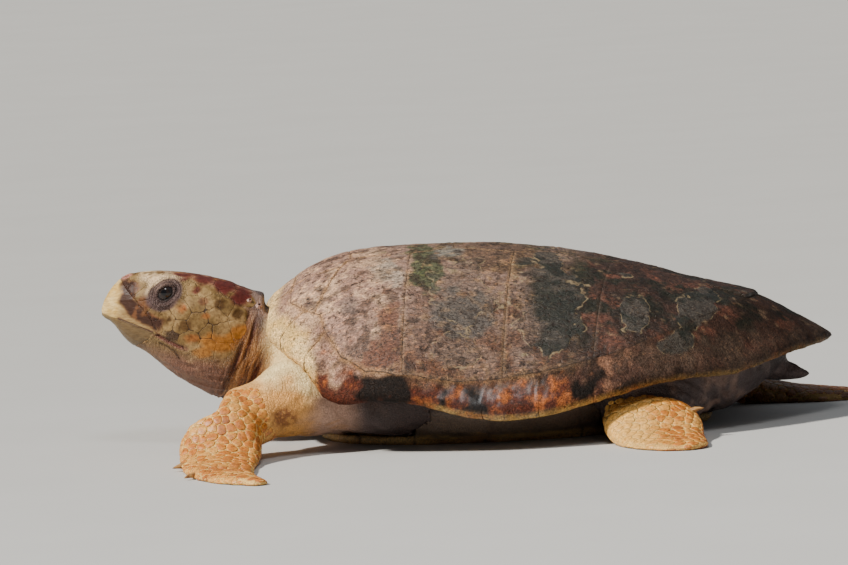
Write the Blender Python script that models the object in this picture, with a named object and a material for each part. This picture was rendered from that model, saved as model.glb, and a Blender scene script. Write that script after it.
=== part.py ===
"""A life-size loggerhead turtle (Caretta caretta), resting on its plastron with the head raised.

Metres, +Z up. The head points to -X, the turtle's left side to -Y. The origin is the centre of the flat
underside of the plastron, on the floor and in the plane of symmetry of the shell.
The shell is a dome over a heart-shaped outline, divided into its horny shields. The flesh is fused from
lofted lengths, cut away where the shell is, and parted by thin cuts into the parts of the body.
"""

import math

import bmesh
import bpy
import numpy as np
from mathutils import Matrix, Vector

GAP = 0.0004  # clearance between neighbouring solids
SHELL = 0.012  # thickness of the shell's bone and horn
LEFT, RIGHT = -1, 1  # the sign of y on each side

# The shell from the side: (x, height) of the middle line, and of the rim's outermost edge.
RIDGE = [(-0.455, 0.238), (-0.42, 0.264), (-0.38, 0.287), (-0.33, 0.303), (-0.27, 0.3095), (-0.20, 0.3115),
         (-0.10, 0.308), (0.0, 0.296), (0.10, 0.276), (0.20, 0.247), (0.30, 0.216), (0.35, 0.199),
         (0.40, 0.171), (0.466, 0.130)]
RIM = [(-0.468, 0.196), (-0.445, 0.178), (-0.42, 0.158), (-0.40, 0.133), (-0.385, 0.110), (-0.36, 0.100),
       (-0.30, 0.103), (-0.25, 0.098), (-0.20, 0.084), (-0.15, 0.070), (-0.10, 0.063), (-0.04, 0.066),
       (0.04, 0.081), (0.10, 0.093), (0.16, 0.104), (0.24, 0.106), (0.29, 0.104), (0.35, 0.113),
       (0.41, 0.123), (0.466, 0.129)]
# The shell from above: half its width, and how wide the shields of the rim are.
HALF_WIDTH = [(-0.468, 0.115), (-0.46, 0.150), (-0.445, 0.188), (-0.42, 0.231), (-0.38, 0.283),
              (-0.33, 0.318), (-0.27, 0.340), (-0.20, 0.352), (-0.12, 0.355), (-0.04, 0.350), (0.04, 0.336),
              (0.12, 0.311), (0.20, 0.272), (0.28, 0.217), (0.35, 0.155), (0.41, 0.090), (0.45, 0.035),
              (0.466, 0.0)]
RIM_SHIELD = [(-0.468, 0.040), (-0.4545, 0.042), (-0.4365, 0.059), (-0.405, 0.041), (-0.355, 0.0236),
              (-0.3235, 0.0175), (-0.28, 0.0165), (-0.21, 0.020), (-0.10, 0.030), (0.10, 0.034),
              (0.20, 0.046), (0.30, 0.066), (0.40, 0.095), (0.466, 0.120)]
RIM_THICK = [(-0.468, 0.026), (-0.40, 0.022), (-0.30, 0.016), (0.20, 0.015), (0.466, 0.011)]
FRONT_MIDDLE = -0.455  # the rim's shallow notch over the neck
FRONT_CORNER = (-0.468, 0.115)
TAIL_TIP = 0.466
DOME_POWER = 0.8
ROOF_CLEAR = 0.0075  # hidden air between the flesh and the straight-sided facets of the shields
RIM_INSET = 0.04  # of a step of the outline, left free at both ends of a shield of the rim
UNDERSIDE = 0.062  # how far the rim's underside reaches inwards

# The seams between the shields, seen from above: (x, half width) down the middle row.
VERTEBRAL_SEAMS = [(-0.322, 0.060), (-0.152, 0.050), (0.018, 0.046), (0.186, 0.040)]
VERTEBRAL_CORNERS = [(-0.341, 0.088), (-0.225, 0.072), (-0.055, 0.070), (0.102, 0.062)]
V5_BACK_HALF = 0.055
NUCHAL_HALF = 0.078
V1_FRONT_HALF = 0.060
MARGINAL_SHARES = [0, 0.085, 0.143, 0.238, 0.325, 0.400, 0.475, 0.550, 0.625, 0.705, 0.790, 0.885, 1.0]
COSTAL_FEET = [-0.386, -0.260, -0.097, 0.050]  # x on the rim's seam where each costal shield ends

# The plastron and its two bridges to the rim.
PLASTRON = [(-0.385, 0.0), (-0.380, 0.040), (-0.355, 0.095), (-0.30, 0.150), (-0.22, 0.190), (-0.10, 0.205),
            (0.02, 0.195), (0.12, 0.155), (0.20, 0.100), (0.255, 0.045), (0.262, 0.0)]
PLASTRON_THICK = 0.014
PLASTRON_BEVEL = 0.006
BRIDGE = (-0.235, 0.065)  # front and back end

# The head, in upright slices: x, top, bottom, half width, height of the widest level.
HEAD = [(-0.7325, 0.232, 0.222, 0.008, 0.227), (-0.728, 0.245, 0.217, 0.016, 0.229),
        (-0.720, 0.258, 0.2125, 0.025, 0.232), (-0.712, 0.2685, 0.204, 0.032, 0.233),
        (-0.700, 0.2795, 0.186, 0.040, 0.232), (-0.685, 0.2865, 0.171, 0.049, 0.230),
        (-0.665, 0.290, 0.158, 0.059, 0.227), (-0.640, 0.2905, 0.137, 0.068, 0.222),
        (-0.612, 0.288, 0.112, 0.080, 0.212), (-0.580, 0.283, 0.093, 0.089, 0.201),
        (-0.550, 0.276, 0.078, 0.092, 0.191), (-0.520, 0.267, 0.068, 0.088, 0.180),
        (-0.495, 0.254, 0.064, 0.081, 0.168), (-0.465, 0.246, 0.060, 0.079, 0.156),
        (-0.42, 0.243, 0.055, 0.086, 0.148), (-0.36, 0.238, 0.050, 0.092, 0.142)]
HEAD_ROUND = 2.35  # exponent of a slice's superellipse: 2 is round, higher is boxier
HEAD_SIDES = 22
EYE = (-0.627, 0.0520, 0.2575)
EYE_RADIUS = 0.0185
# Side outlines of the horny beak, from the tip backwards: over the mouth line, and under it.
MOUTH = [(-0.76, 0.234), (-0.724, 0.2235), (-0.714, 0.2185), (-0.700, 0.2155), (-0.680, 0.2085),
         (-0.660, 0.199), (-0.645, 0.191)]
BEAK_TOP = [(-0.652, 0.214), (-0.668, 0.236), (-0.684, 0.258), (-0.699, 0.279), (-0.76, 0.30)]
BEAK_BOTTOM = [(-0.662, 0.181), (-0.682, 0.170), (-0.76, 0.13)]
HEAD_BACK = [(-0.490, 0.30), (-0.496, 0.20), (-0.530, 0.12), (-0.575, 0.04)]  # where the neck begins

TRUNK_SQUARE = 0.66  # how square the trunk is in section: 1 is an ellipse
FLESH_VOXEL = 0.005
FLESH_KEPT = 0.0105  # share of the fused flesh's faces that stays


def curve(points):
    """A smooth function through (x, value) points that never overshoots them (monotone cubic)."""
    xs, ys = (np.array(column, float) for column in zip(*points))
    step = np.diff(xs)
    slope = np.diff(ys) / step
    tangent = np.zeros_like(ys)
    tangent[0], tangent[-1] = slope[0], slope[-1]
    for i in range(1, len(xs) - 1):
        if slope[i - 1] * slope[i] > 0:
            before, after = 2 * step[i] + step[i - 1], step[i] + 2 * step[i - 1]
            tangent[i] = (before + after) / (before / slope[i - 1] + after / slope[i])

    def value(x):
        x = np.clip(x, xs[0], xs[-1])
        i = np.clip(np.searchsorted(xs, x) - 1, 0, len(xs) - 2)
        t = (x - xs[i]) / step[i]
        start = (2 * t**3 - 3 * t**2 + 1) * ys[i] + (t**3 - 2 * t**2 + t) * step[i] * tangent[i]
        end = (3 * t**2 - 2 * t**3) * ys[i + 1] + (t**3 - t**2) * step[i] * tangent[i + 1]
        return start + end

    return value


ridge, rim, half_width = curve(RIDGE), curve(RIM), curve(HALF_WIDTH)
rim_shield, rim_thick = curve(RIM_SHIELD), curve(RIM_THICK)


def dome(x, y):
    """Height of the shell's outer surface over a point of the plan."""
    wide = np.maximum(half_width(x), 1e-4)
    across = np.minimum(np.abs(y) / wide, 1.0)
    return rim(x) + (ridge(x) - rim(x)) * (1 - across**2) ** DOME_POWER


def half_outline(count):
    """Evenly spaced points round half the rim, y > 0, from the front middle to the tip of the tail end."""
    corner_x, corner_y = FRONT_CORNER
    y = np.linspace(0, corner_y, 30)
    front = np.stack([FRONT_MIDDLE + (corner_x - FRONT_MIDDLE) * (y / corner_y) ** 2, y], axis=1)
    x = corner_x + (TAIL_TIP - corner_x) * (1 - np.cos(np.linspace(0, math.pi, 300))) / 2
    side = np.stack([x, half_width(x)], axis=1)
    line = np.concatenate([front, side[1:]])
    along = np.concatenate([[0], np.cumsum(np.hypot(*np.diff(line, axis=0).T))])
    wanted = np.linspace(0, along[-1], count)
    return np.stack([np.interp(wanted, along, line[:, 0]), np.interp(wanted, along, line[:, 1])], axis=1)


def inner_seam(points):
    """The rim's inner seam for points of the outline: each moved towards the middle of the shell."""
    length = np.hypot(points[:, 0], points[:, 1])
    return points * (1 - rim_shield(points[:, 0]) / length)[:, None]


OUTLINE = half_outline(240)
SEAM = inner_seam(OUTLINE)


def place_of(column, value, line=SEAM):
    """The place on a line, counted in its points, where x (0) or y (1) first reaches a value."""
    reached = line[:, column] >= value
    if column == 0:
        reached &= np.arange(len(line)) > np.argmin(line[:, 0])
    return int(np.argmax(reached))


def outline_at(place, line):
    """The point of a line at a place between two of its points."""
    low = min(int(place), len(line) - 2)
    return line[low] + (line[low + 1] - line[low]) * (place - low)


NUCHAL_END = place_of(1, NUCHAL_HALF, OUTLINE)
MARGINAL_ENDS = [NUCHAL_END + (len(OUTLINE) - 1 - NUCHAL_END) * share for share in MARGINAL_SHARES]
# The places round the half outline where the rim and its inner seam turn: between them they run straight.
TURNS = list(np.linspace(0, NUCHAL_END, 4, endpoint=False))
TURNS += [(a * (2 - i) + b * i) / 2 for a, b in zip(MARGINAL_ENDS, MARGINAL_ENDS[1:]) for i in (0, 1)]
TURNS.append(MARGINAL_ENDS[-1])


V5_BACK = len(SEAM) - int(np.argmax(SEAM[::-1, 1] >= V5_BACK_HALF)) - 1


def seam_at(place):
    """The point of the rim's inner seam at a place of the half outline."""
    i = max(k for k, turn in enumerate(TURNS[:-1]) if turn <= place)
    low, high = outline_at(TURNS[i], SEAM), outline_at(TURNS[i + 1], SEAM)
    return tuple(low + (high - low) * (place - TURNS[i]) / (TURNS[i + 1] - TURNS[i]))


def seam_run(first, last):
    """Points of the rim's inner seam from one place to another, both with the turns between them."""
    low, high = min(first, last), max(first, last)
    run = [low] + [turn for turn in TURNS if low + 0.5 < turn < high - 0.5] + [high]
    run = [seam_at(place) for place in run]
    return run if first < last else run[::-1]


def new_object(name, mesh):
    made = bpy.data.objects.new(name, mesh)
    bpy.context.scene.collection.objects.link(made)
    return made


def object_of(name, bm):
    """A new object from a bmesh, with its faces pointing out."""
    bmesh.ops.recalc_face_normals(bm, faces=bm.faces)
    mesh = bpy.data.meshes.new(name)
    bm.to_mesh(mesh)
    bm.free()
    return new_object(name, mesh)


def loft(name, rings):
    """A closed solid through rings of equally many points, with its two ends filled."""
    bm = bmesh.new()
    loops = [[bm.verts.new(p) for p in ring] for ring in rings]
    count = len(loops[0])
    for a, b in zip(loops, loops[1:]):
        for i in range(count):
            bm.faces.new((a[i], a[(i + 1) % count], b[(i + 1) % count], b[i]))
    bm.faces.new(loops[0][::-1])
    bm.faces.new(loops[-1])
    bmesh.ops.triangulate(bm, faces=bm.faces)
    return object_of(name, bm)


def prism(name, outline, low, high):
    """A side outline of (x, z) points, extruded from y = low to y = high."""
    return loft(name, [[(x, y, z) for x, z in outline] for y in (low, high)])


def box(name, low, high, grow=0.0):
    """A box between two corners, grown on all sides."""
    bm = bmesh.new()
    bmesh.ops.create_cube(bm, size=1)
    size = Vector(high) - Vector(low)
    for v in bm.verts:
        v.co = Vector((v.co[i] * (size[i] + 2 * grow) + size[i] / 2 for i in range(3)))
    bmesh.ops.translate(bm, verts=bm.verts, vec=low)
    return object_of(name, bm)


def evaluated(obj, name):
    """A copy of an object with its modifiers applied. The original is removed."""
    bpy.context.view_layer.update()
    mesh = bpy.data.meshes.new_from_object(obj.evaluated_get(bpy.context.evaluated_depsgraph_get()))
    bpy.data.objects.remove(obj)
    mesh.name = name
    return new_object(name, mesh)


def boolean(target, cutter, operation, keep_cutter=False):
    """The target after a Boolean with the cutter, which is removed unless it is kept."""
    cut = target.modifiers.new("cut", "BOOLEAN")
    cut.operation, cut.object, cut.solver = operation, cutter, "EXACT"
    made = evaluated(target, target.name)
    if not keep_cutter:
        bpy.data.objects.remove(cutter)
    return made


def duplicate(obj, name):
    return new_object(name, obj.data.copy())


def largest(obj):
    """Only the biggest closed body of an object: the scraps that a cut can leave beside it go."""
    bm = bmesh.new()
    bm.from_mesh(obj.data)
    left, groups = set(bm.verts), []
    while left:
        group, front = set(), [next(iter(left))]
        while front:
            vert = front.pop()
            if vert not in group:
                group.add(vert)
                front += [edge.other_vert(vert) for edge in vert.link_edges]
        left -= group
        groups.append(group)
    keep = max(groups, key=len)
    bmesh.ops.delete(bm, geom=[v for v in bm.verts if v not in keep], context="VERTS")
    bm.to_mesh(obj.data)
    bm.free()
    return obj


def carve(body, make_cutter, name):
    """Parts the piece inside a cutter from a body by a thin cut. Returns the rest and the piece."""
    piece = boolean(duplicate(body, name), make_cutter(0.0), "INTERSECT")
    piece.name = name
    return largest(boolean(body, make_cutter(GAP), "DIFFERENCE")), largest(piece)


# The shell ------------------------------------------------------------------------------------------


def rim_slice(edge, seam, side, grow=0.0):
    """A closed slice through the rim at one point of the outline, as (x, y, z) points."""
    down = float(rim_thick(edge[0])) / 2
    edge_z, seam_z = float(dome(*edge)), float(dome(*seam))
    inward = -np.array(edge) / np.hypot(*edge)
    outward_edge = np.array(edge) - inward * grow
    seam = np.array(seam) + inward * grow
    top = [(q, dome(*(np.array(seam) + (np.array(edge) - seam) * q)) + grow) for q in (0, 0.5, 0.85)]
    points = [(*(np.array(seam) + (np.array(edge) - seam) * q), z) for q, z in top]
    points += [(*(outward_edge + inward * 0.002), edge_z + down * 0.35)]
    points += [(*outward_edge, edge_z - down * 0.5)]
    points += [(*(outward_edge + inward * 0.004), edge_z - down * 1.5 - grow)]
    points += [(*(outward_edge + inward * 0.012), edge_z - down * 1.9 - grow)]
    reach = UNDERSIDE + 2 * grow
    points += [(*(outward_edge + inward * reach), edge_z - down * 0.9 - grow)]
    points += [(*(outward_edge + inward * reach), edge_z - down * 0.9 + 0.008 + grow)]
    points += [(*seam, seam_z - SHELL - grow)]
    return [(x, side * y, z) for x, y, z in points]


def rim_piece(name, places):
    """A length of the rim through places on the half outline. Those before the middle are negative."""
    rings = []
    for place in places:
        side = RIGHT if place >= 0 else LEFT
        rings.append(rim_slice(outline_at(abs(place), OUTLINE), outline_at(abs(place), SEAM), side))
    return loft(name, rings)


def rim_cutter():
    """The whole rim as one ring, grown by the gap."""
    places = [(turn, RIGHT) for turn in TURNS] + [(turn, LEFT) for turn in TURNS[-2:0:-1]]
    rings = [rim_slice(outline_at(turn, OUTLINE), outline_at(turn, SEAM), side, 2 * GAP)
             for turn, side in places]
    bm = bmesh.new()
    loops = [[bm.verts.new(p) for p in ring] for ring in rings]
    for a, b in zip(loops, loops[1:] + loops[:1]):
        for i in range(len(a)):
            j = (i + 1) % len(a)
            bm.faces.new((a[i], a[j], b[j], b[i]))
    bmesh.ops.triangulate(bm, faces=bm.faces)
    return object_of("rim_cutter", bm)


def marginals():
    """Twelve shields along each side of the rim, the last pair meeting over the tail."""
    for number, (first, last) in enumerate(zip(MARGINAL_ENDS, MARGINAL_ENDS[1:]), 1):
        places = [first + RIM_INSET, (first + last) / 2, last - RIM_INSET]
        rim_piece(f"marginal_shield_right_{number}", places)
        rim_piece(f"marginal_shield_left_{number}", [-place for place in places[::-1]])


def nuchal():
    """The shield over the neck: the rim's front middle, from one side to the other."""
    half = TURNS[1:4] + [NUCHAL_END - RIM_INSET]
    return rim_piece("nuchal_shield", [-place for place in half[::-1]] + [0] + half)


def shield(name, outline, lift=lambda x: 0.0):
    """A horny shield with its bone: a plan outline carried up to the dome, and SHELL thick."""
    outline = np.array(outline, float)
    middle = outline.mean(axis=0)
    away = outline - middle
    outline = middle + away * (1 - GAP / np.hypot(*away.T))[:, None]
    rings = [middle + (outline - middle) * share for share in (1.0, 0.55)]
    bm = bmesh.new()

    def layer(drop):
        def vert(x, y):
            return bm.verts.new((x, y, float(dome(x, y)) + lift(x) - drop))

        loops = [[vert(x, y) for x, y in ring] for ring in rings]
        centre = vert(*middle)
        count = len(outline)
        for i in range(count):
            j = (i + 1) % count
            bm.faces.new((loops[0][i], loops[0][j], loops[1][j], loops[1][i]))
            bm.faces.new((loops[1][i], loops[1][j], centre))
        return loops[0]

    top, bottom = layer(0.0), layer(SHELL)
    for i in range(len(outline)):
        j = (i + 1) % len(outline)
        bm.faces.new((top[i], bottom[i], bottom[j], top[j]))
    bmesh.ops.triangulate(bm, faces=bm.faces)
    return object_of(name, bm)


def between(a, b, count=4):
    """Points from a to just before b, in a straight line of the plan."""
    return [(a[0] + (b[0] - a[0]) * i / count, a[1] + (b[1] - a[1]) * i / count) for i in range(count)]


def closed_line(corners, count=4, closed=True):
    """Points along straight lines from corner to corner, and back to the first one if closed."""
    ends = corners[1:] + (corners[:1] if closed else [])
    line = [p for a, b in zip(corners, ends) for p in between(a, b, count)]
    return line if closed else line + [corners[-1]]


def mirrored(points):
    return [(x, -y) for x, y in reversed(points)]


def vertebrals():
    """The five shields down the middle, each six-sided but for the last, which ends the row squarely."""
    front = seam_run(0, place_of(1, V1_FRONT_HALF))
    rows = [front + [VERTEBRAL_CORNERS[0], VERTEBRAL_SEAMS[0]]]
    for i in range(3):
        rows.append([VERTEBRAL_SEAMS[i], VERTEBRAL_CORNERS[i + 1], VERTEBRAL_SEAMS[i + 1]])
    rows.append([VERTEBRAL_SEAMS[3]])
    for number, right in enumerate(rows, 1):
        if number == 1:
            line = front[1:-1] + closed_line(right[len(front) - 1 :], 3, closed=False)
            shield("vertebral_shield_1", [front[0]] + line + mirrored(line))
        elif number == 5:
            back = seam_run(V5_BACK, TURNS[-1])
            line = between(right[0], back[0], 4) + back[:-1]
            line = line + [back[-1]] + mirrored(line)
            shield("vertebral_shield_5", line, lambda x: max(0.0, x - 0.24) * 0.06)
        else:
            shield(f"vertebral_shield_{number}", closed_line(right + mirrored(right), 3))


def costals():
    """The five shields on each flank, between the middle row and the rim."""
    feet = [place_of(1, V1_FRONT_HALF)] + [place_of(0, x) for x in COSTAL_FEET] + [V5_BACK]
    heads = [[VERTEBRAL_CORNERS[0]]]
    for i in range(3):
        heads.append([VERTEBRAL_CORNERS[i], VERTEBRAL_SEAMS[i], VERTEBRAL_CORNERS[i + 1]])
    heads.append([VERTEBRAL_CORNERS[3], VERTEBRAL_SEAMS[3]])
    for number, inner in enumerate(heads, 1):
        foot = seam_run(feet[number], feet[number - 1])
        line = closed_line(inner, 3, closed=False)[:-1] if len(inner) > 1 else []
        line += between(inner[-1], foot[0], 5) + foot[:-1] + between(foot[-1], inner[0], 5)
        shield(f"costal_shield_right_{number}", line)
        shield(f"costal_shield_left_{number}", mirrored(line))


def plastron_half_width(x):
    xs, ys = zip(*PLASTRON)
    return float(np.interp(x, xs, ys))


def plastron(name, grow=0.0):
    """The flat belly plate, its edge bevelled all round."""
    side = [(x, y) for x, y in PLASTRON]
    outline = np.array(side + [(x, -y) for x, y in reversed(side[1:-1])])
    middle = outline.mean(axis=0)
    away = (outline - middle) / np.hypot(*(outline - middle).T)[:, None]

    def ring(inset, z):
        return [(x, y, z) for x, y in outline - away * inset]

    top = PLASTRON_THICK + grow
    low = -grow
    rings = [ring(PLASTRON_BEVEL - grow, low), ring(-grow, PLASTRON_BEVEL), ring(-grow, top - 0.003)]
    return loft(name, rings + [ring(0.003 - grow, top)])


def bridge(name, side, grow=0.0):
    """The wall from the plastron's edge out and up to the underside of the rim, waisted at its middle."""
    front, back = BRIDGE[0] - grow, BRIDGE[1] + grow
    rings = []
    for share in np.linspace(0, 1, 9):
        x = front + (back - front) * share
        flare = 0.030 * (2 * share - 1) ** 4
        inner = plastron_half_width(x) - 0.014 - flare
        outer = float(half_width(x)) - 0.052 - flare
        top = float(rim(x)) - 0.012 - flare * 0.5
        rise = top - 0.010
        lower = [(0, 0.0), (0.35, 0.10), (0.72, 0.42), (1, 1)]
        under = [(inner - grow + (outer + 2 * grow - inner) * a, 0.005 + rise * b - grow) for a, b in lower]
        over = [(y - 0.004 - 3 * grow, z + 0.012 + 6 * grow) for y, z in under[::-1]]
        rings.append([(x, side * y, z) for y, z in under + over])
    return loft(name, rings)


def roof_cutter():
    """All that lies over the shell's inner surface, to cut the flesh with."""
    count = 20
    half = OUTLINE[:: len(OUTLINE) // count]
    outline = np.concatenate([half, half[-2:0:-1] * (1, -1)])
    bm = bmesh.new()
    low_loops = []
    for share in (1.02, 0.92, 0.80, 0.62, 0.36):
        ring = outline * share
        z = dome(ring[:, 0], ring[:, 1]) - SHELL - ROOF_CLEAR
        low_loops.append([bm.verts.new((x, y, h)) for (x, y), h in zip(ring, z)])
    centre = bm.verts.new((0, 0, float(dome(0, 0)) - SHELL - ROOF_CLEAR))
    top = [bm.verts.new((v.co.x, v.co.y, 0.5)) for v in low_loops[0]]
    n = len(outline)
    for a, b in zip([top] + low_loops, low_loops):
        for i in range(n):
            bm.faces.new((a[i], a[(i + 1) % n], b[(i + 1) % n], b[i]))
    for i in range(n):
        bm.faces.new((low_loops[-1][i], low_loops[-1][(i + 1) % n], centre))
    bm.faces.new(top)
    bmesh.ops.triangulate(bm, faces=bm.faces)
    return object_of("roof_cutter", bm)


# The flesh ------------------------------------------------------------------------------------------

# Each length is a list of slices: centre x, y, z, then half the breadth, half the depth, and the
# direction of the breadth in the plan, in degrees from +X.
TRUNK = [(-0.462, 0, 0.118, 0.070, 0.030, 90), (-0.450, 0, 0.116, 0.115, 0.052, 90),
         (-0.430, 0, 0.114, 0.155, 0.074, 90), (-0.400, 0, 0.112, 0.200, 0.090, 90),
         (-0.35, 0, 0.110, 0.250, 0.098, 90), (-0.28, 0, 0.110, 0.286, 0.102, 90),
         (-0.18, 0, 0.112, 0.300, 0.104, 90), (0.0, 0, 0.118, 0.290, 0.110, 90),
         (0.14, 0, 0.112, 0.255, 0.104, 90), (0.22, 0, 0.106, 0.210, 0.096, 90),
         (0.28, 0, 0.104, 0.160, 0.084, 90), (0.33, 0, 0.106, 0.105, 0.056, 90),
         (0.365, 0, 0.108, 0.060, 0.034, 90), (0.385, 0, 0.108, 0.030, 0.018, 90)]
TAIL = [(0.28, 0, 0.090, 0.050, 0.040, 90), (0.335, 0, 0.084, 0.034, 0.028, 90),
        (0.375, 0, 0.075, 0.023, 0.019, 90), (0.405, 0, 0.067, 0.014, 0.012, 90),
        (0.427, 0, 0.062, 0.006, 0.005, 90)]
FRONT_LEFT = [(-0.33, -0.140, 0.105, 0.070, 0.080, 30), (-0.395, -0.185, 0.098, 0.074, 0.078, 30),
              (-0.440, -0.215, 0.088, 0.062, 0.066, 25), (-0.475, -0.235, 0.078, 0.050, 0.048, 20),
              (-0.512, -0.252, 0.066, 0.058, 0.042, 12), (-0.538, -0.276, 0.055, 0.064, 0.046, 6),
              (-0.547, -0.298, 0.038, 0.067, 0.040, 4), (-0.552, -0.322, 0.020, 0.068, 0.030, 2),
              (-0.554, -0.352, 0.009, 0.067, 0.019, 2), (-0.556, -0.385, 0.006, 0.064, 0.0145, 0),
              (-0.556, -0.430, 0.005, 0.060, 0.0135, -4), (-0.548, -0.510, 0.004, 0.050, 0.012, -14),
              (-0.526, -0.580, 0.003, 0.037, 0.0105, -26), (-0.490, -0.640, 0.003, 0.016, 0.008, -36)]
FRONT_RIGHT = [(-0.33, 0.140, 0.105, 0.070, 0.080, -30), (-0.385, 0.195, 0.098, 0.074, 0.072, -30),
               (-0.405, 0.245, 0.080, 0.060, 0.054, -10), (-0.400, 0.290, 0.054, 0.058, 0.038, 14),
               (-0.378, 0.328, 0.030, 0.064, 0.028, 38), (-0.340, 0.362, 0.012, 0.068, 0.020, 52),
               (-0.275, 0.400, 0.006, 0.064, 0.0155, 62), (-0.200, 0.432, 0.005, 0.056, 0.013, 68),
               (-0.125, 0.458, 0.004, 0.045, 0.0115, 72), (-0.060, 0.474, 0.003, 0.030, 0.010, 76),
               (-0.018, 0.483, 0.003, 0.012, 0.008, 78)]
THIGH_LEFT = [(0.225, -0.110, 0.085, 0.062, 0.060, 40), (0.185, -0.165, 0.068, 0.062, 0.056, 30),
              (0.150, -0.212, 0.046, 0.056, 0.044, 15), (0.134, -0.245, 0.033, 0.052, 0.036, 5)]
FOOT_LEFT = [(0.128, -0.228, 0.031, 0.052, 0.034, 0), (0.134, -0.250, 0.033, 0.074, 0.040, -2),
             (0.140, -0.285, 0.030, 0.080, 0.037, -4), (0.145, -0.315, 0.021, 0.080, 0.027, -6),
             (0.151, -0.342, 0.012, 0.077, 0.018, -8), (0.159, -0.376, 0.007, 0.071, 0.013, -12),
             (0.171, -0.410, 0.005, 0.062, 0.010, -18), (0.187, -0.440, 0.0045, 0.047, 0.009, -24),
             (0.201, -0.462, 0.004, 0.022, 0.007, -28)]
THIGH_RIGHT = [(0.225, 0.110, 0.085, 0.062, 0.060, -40), (0.262, 0.158, 0.062, 0.056, 0.052, -30),
               (0.305, 0.188, 0.040, 0.042, 0.038, -70), (0.345, 0.200, 0.026, 0.036, 0.027, -84)]
FOOT_RIGHT = [(0.330, 0.197, 0.026, 0.034, 0.028, 90), (0.370, 0.204, 0.017, 0.046, 0.022, 88),
              (0.415, 0.206, 0.011, 0.056, 0.018, 86), (0.460, 0.203, 0.007, 0.060, 0.0155, 84),
              (0.500, 0.197, 0.005, 0.053, 0.0135, 82), (0.532, 0.190, 0.004, 0.038, 0.011, 80),
              (0.556, 0.185, 0.003, 0.018, 0.008, 78)]


# name, limb, root, direction, length and thickness
CLAWS = [
    ("claw_front_left_1", "front_flipper_left", (-0.606, -0.375, 0.009), (-1.0, -0.45, 0.06), 0.026, 0.013),
    ("claw_front_left_2", "front_flipper_left", (-0.596, -0.500, 0.007), (-1.0, -0.75, 0.02), 0.020, 0.010),
    ("claw_front_right_1", "front_flipper_right", (-0.298, 0.452, 0.009), (-0.4, 1.0, 0.06), 0.026, 0.013),
    ("claw_front_right_2", "front_flipper_right", (-0.190, 0.484, 0.007), (0.05, 1.0, 0.02), 0.020, 0.010),
    ("claw_hind_left", "hind_flipper_left", (0.204, -0.288, 0.044), (1.0, -0.15, 0.35), 0.024, 0.012),
    ("claw_hind_right", "hind_flipper_right", (0.440, 0.255, 0.012), (0.6, 1.0, 0.05), 0.022, 0.011),
]


def slices(stations, sides=20, power=1.0):
    """Rings of an ellipse at each station, upright to the way the length runs. A low power squares it."""
    rings = []
    centres = [Vector(s[:3]) for s in stations]
    for i, (*_, breadth, depth, heading) in enumerate(stations):
        run = (centres[min(i + 1, len(centres) - 1)] - centres[max(i - 1, 0)]).normalized()
        wide = Vector((math.cos(math.radians(heading)), math.sin(math.radians(heading)), 0))
        wide = (wide - run * wide.dot(run)).normalized()
        deep = run.cross(wide)
        angles = [2 * math.pi * k / sides for k in range(sides)]
        turns = [(math.cos(a), math.sin(a)) for a in angles]
        ring = [wide * breadth * bent(c, power) + deep * depth * bent(d, power) for c, d in turns]
        rings.append([centres[i] + spot for spot in ring])
    return rings


def bent(value, power):
    return math.copysign(abs(value) ** power, value)


def head_slice(x, top, bottom, half, level):
    """A slice of the head and neck: a superellipse whose upper and lower halves differ in height."""
    ring = []
    for k in range(HEAD_SIDES):
        a = 2 * math.pi * k / HEAD_SIDES
        c, s = math.cos(a), math.sin(a)
        height = (top - level) if s > 0 else (level - bottom)
        ring.append((x, half * bent(c, 2 / HEAD_ROUND), level + height * bent(s, 2 / HEAD_ROUND)))
    return ring


def head_rings(grow=0.0):
    """The slices of HEAD, with a smooth one put between each pair."""
    columns = [curve([(row[0], row[i]) for row in HEAD]) for i in range(1, 5)]
    stations = [row[0] for row in HEAD]
    xs = sorted(stations + [(a + b) / 2 for a, b in zip(stations[4:10], stations[5:11])])
    rings = []
    for x in xs:
        top, bottom, half, level = (float(column(x)) for column in columns)
        rings.append(head_slice(x, top + grow, bottom - grow, half + grow, level))
    return rings


def fuse(pieces, name):
    """Closed pieces that overlap made into one smooth body, with most of its faces then merged."""
    bm = bmesh.new()
    for piece in pieces:
        bm.from_mesh(piece.data)
        bpy.data.objects.remove(piece)
    body = object_of(name, bm)
    remesh = body.modifiers.new("fuse", "REMESH")
    remesh.mode, remesh.voxel_size, remesh.adaptivity = "VOXEL", FLESH_VOXEL, 0
    relax = body.modifiers.new("relax", "SMOOTH")
    relax.factor, relax.iterations = 0.5, 10
    simplify = body.modifiers.new("simplify", "DECIMATE")
    simplify.ratio = FLESH_KEPT
    return evaluated(body, name)


def flesh():
    """Neck, trunk, tail and limbs as one body, cut away where the shell and the floor are."""
    lengths = [TAIL, FRONT_LEFT, FRONT_RIGHT, THIGH_LEFT, FOOT_LEFT, THIGH_RIGHT, FOOT_RIGHT]
    pieces = [loft("length", slices(stations)) for stations in lengths]
    pieces.append(loft("length", slices(TRUNK, 36, TRUNK_SQUARE)))
    pieces.append(loft("length", head_rings()[12:]))
    body = fuse(pieces, "flesh")
    cutters = [box("floor_cutter", (-1, -1, -0.2), (1, 1, 0.0)), roof_cutter(), plastron("cut", 1.5 * GAP)]
    cutters += [bridge("cut", LEFT, 1.5 * GAP), bridge("cut", RIGHT, 1.5 * GAP), rim_cutter()]
    for cutter in cutters:
        body = boolean(body, cutter, "DIFFERENCE")
    return body


def head_cutter(grow):
    """Takes all that is head, in front of the slanting cut to the neck."""
    back = [(x + grow, z) for x, z in HEAD_BACK]
    return prism("head_cutter", [(-0.90, -0.05), (-0.90, 0.35), (-0.48, 0.35)] + back, -0.3, 0.3)


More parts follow.
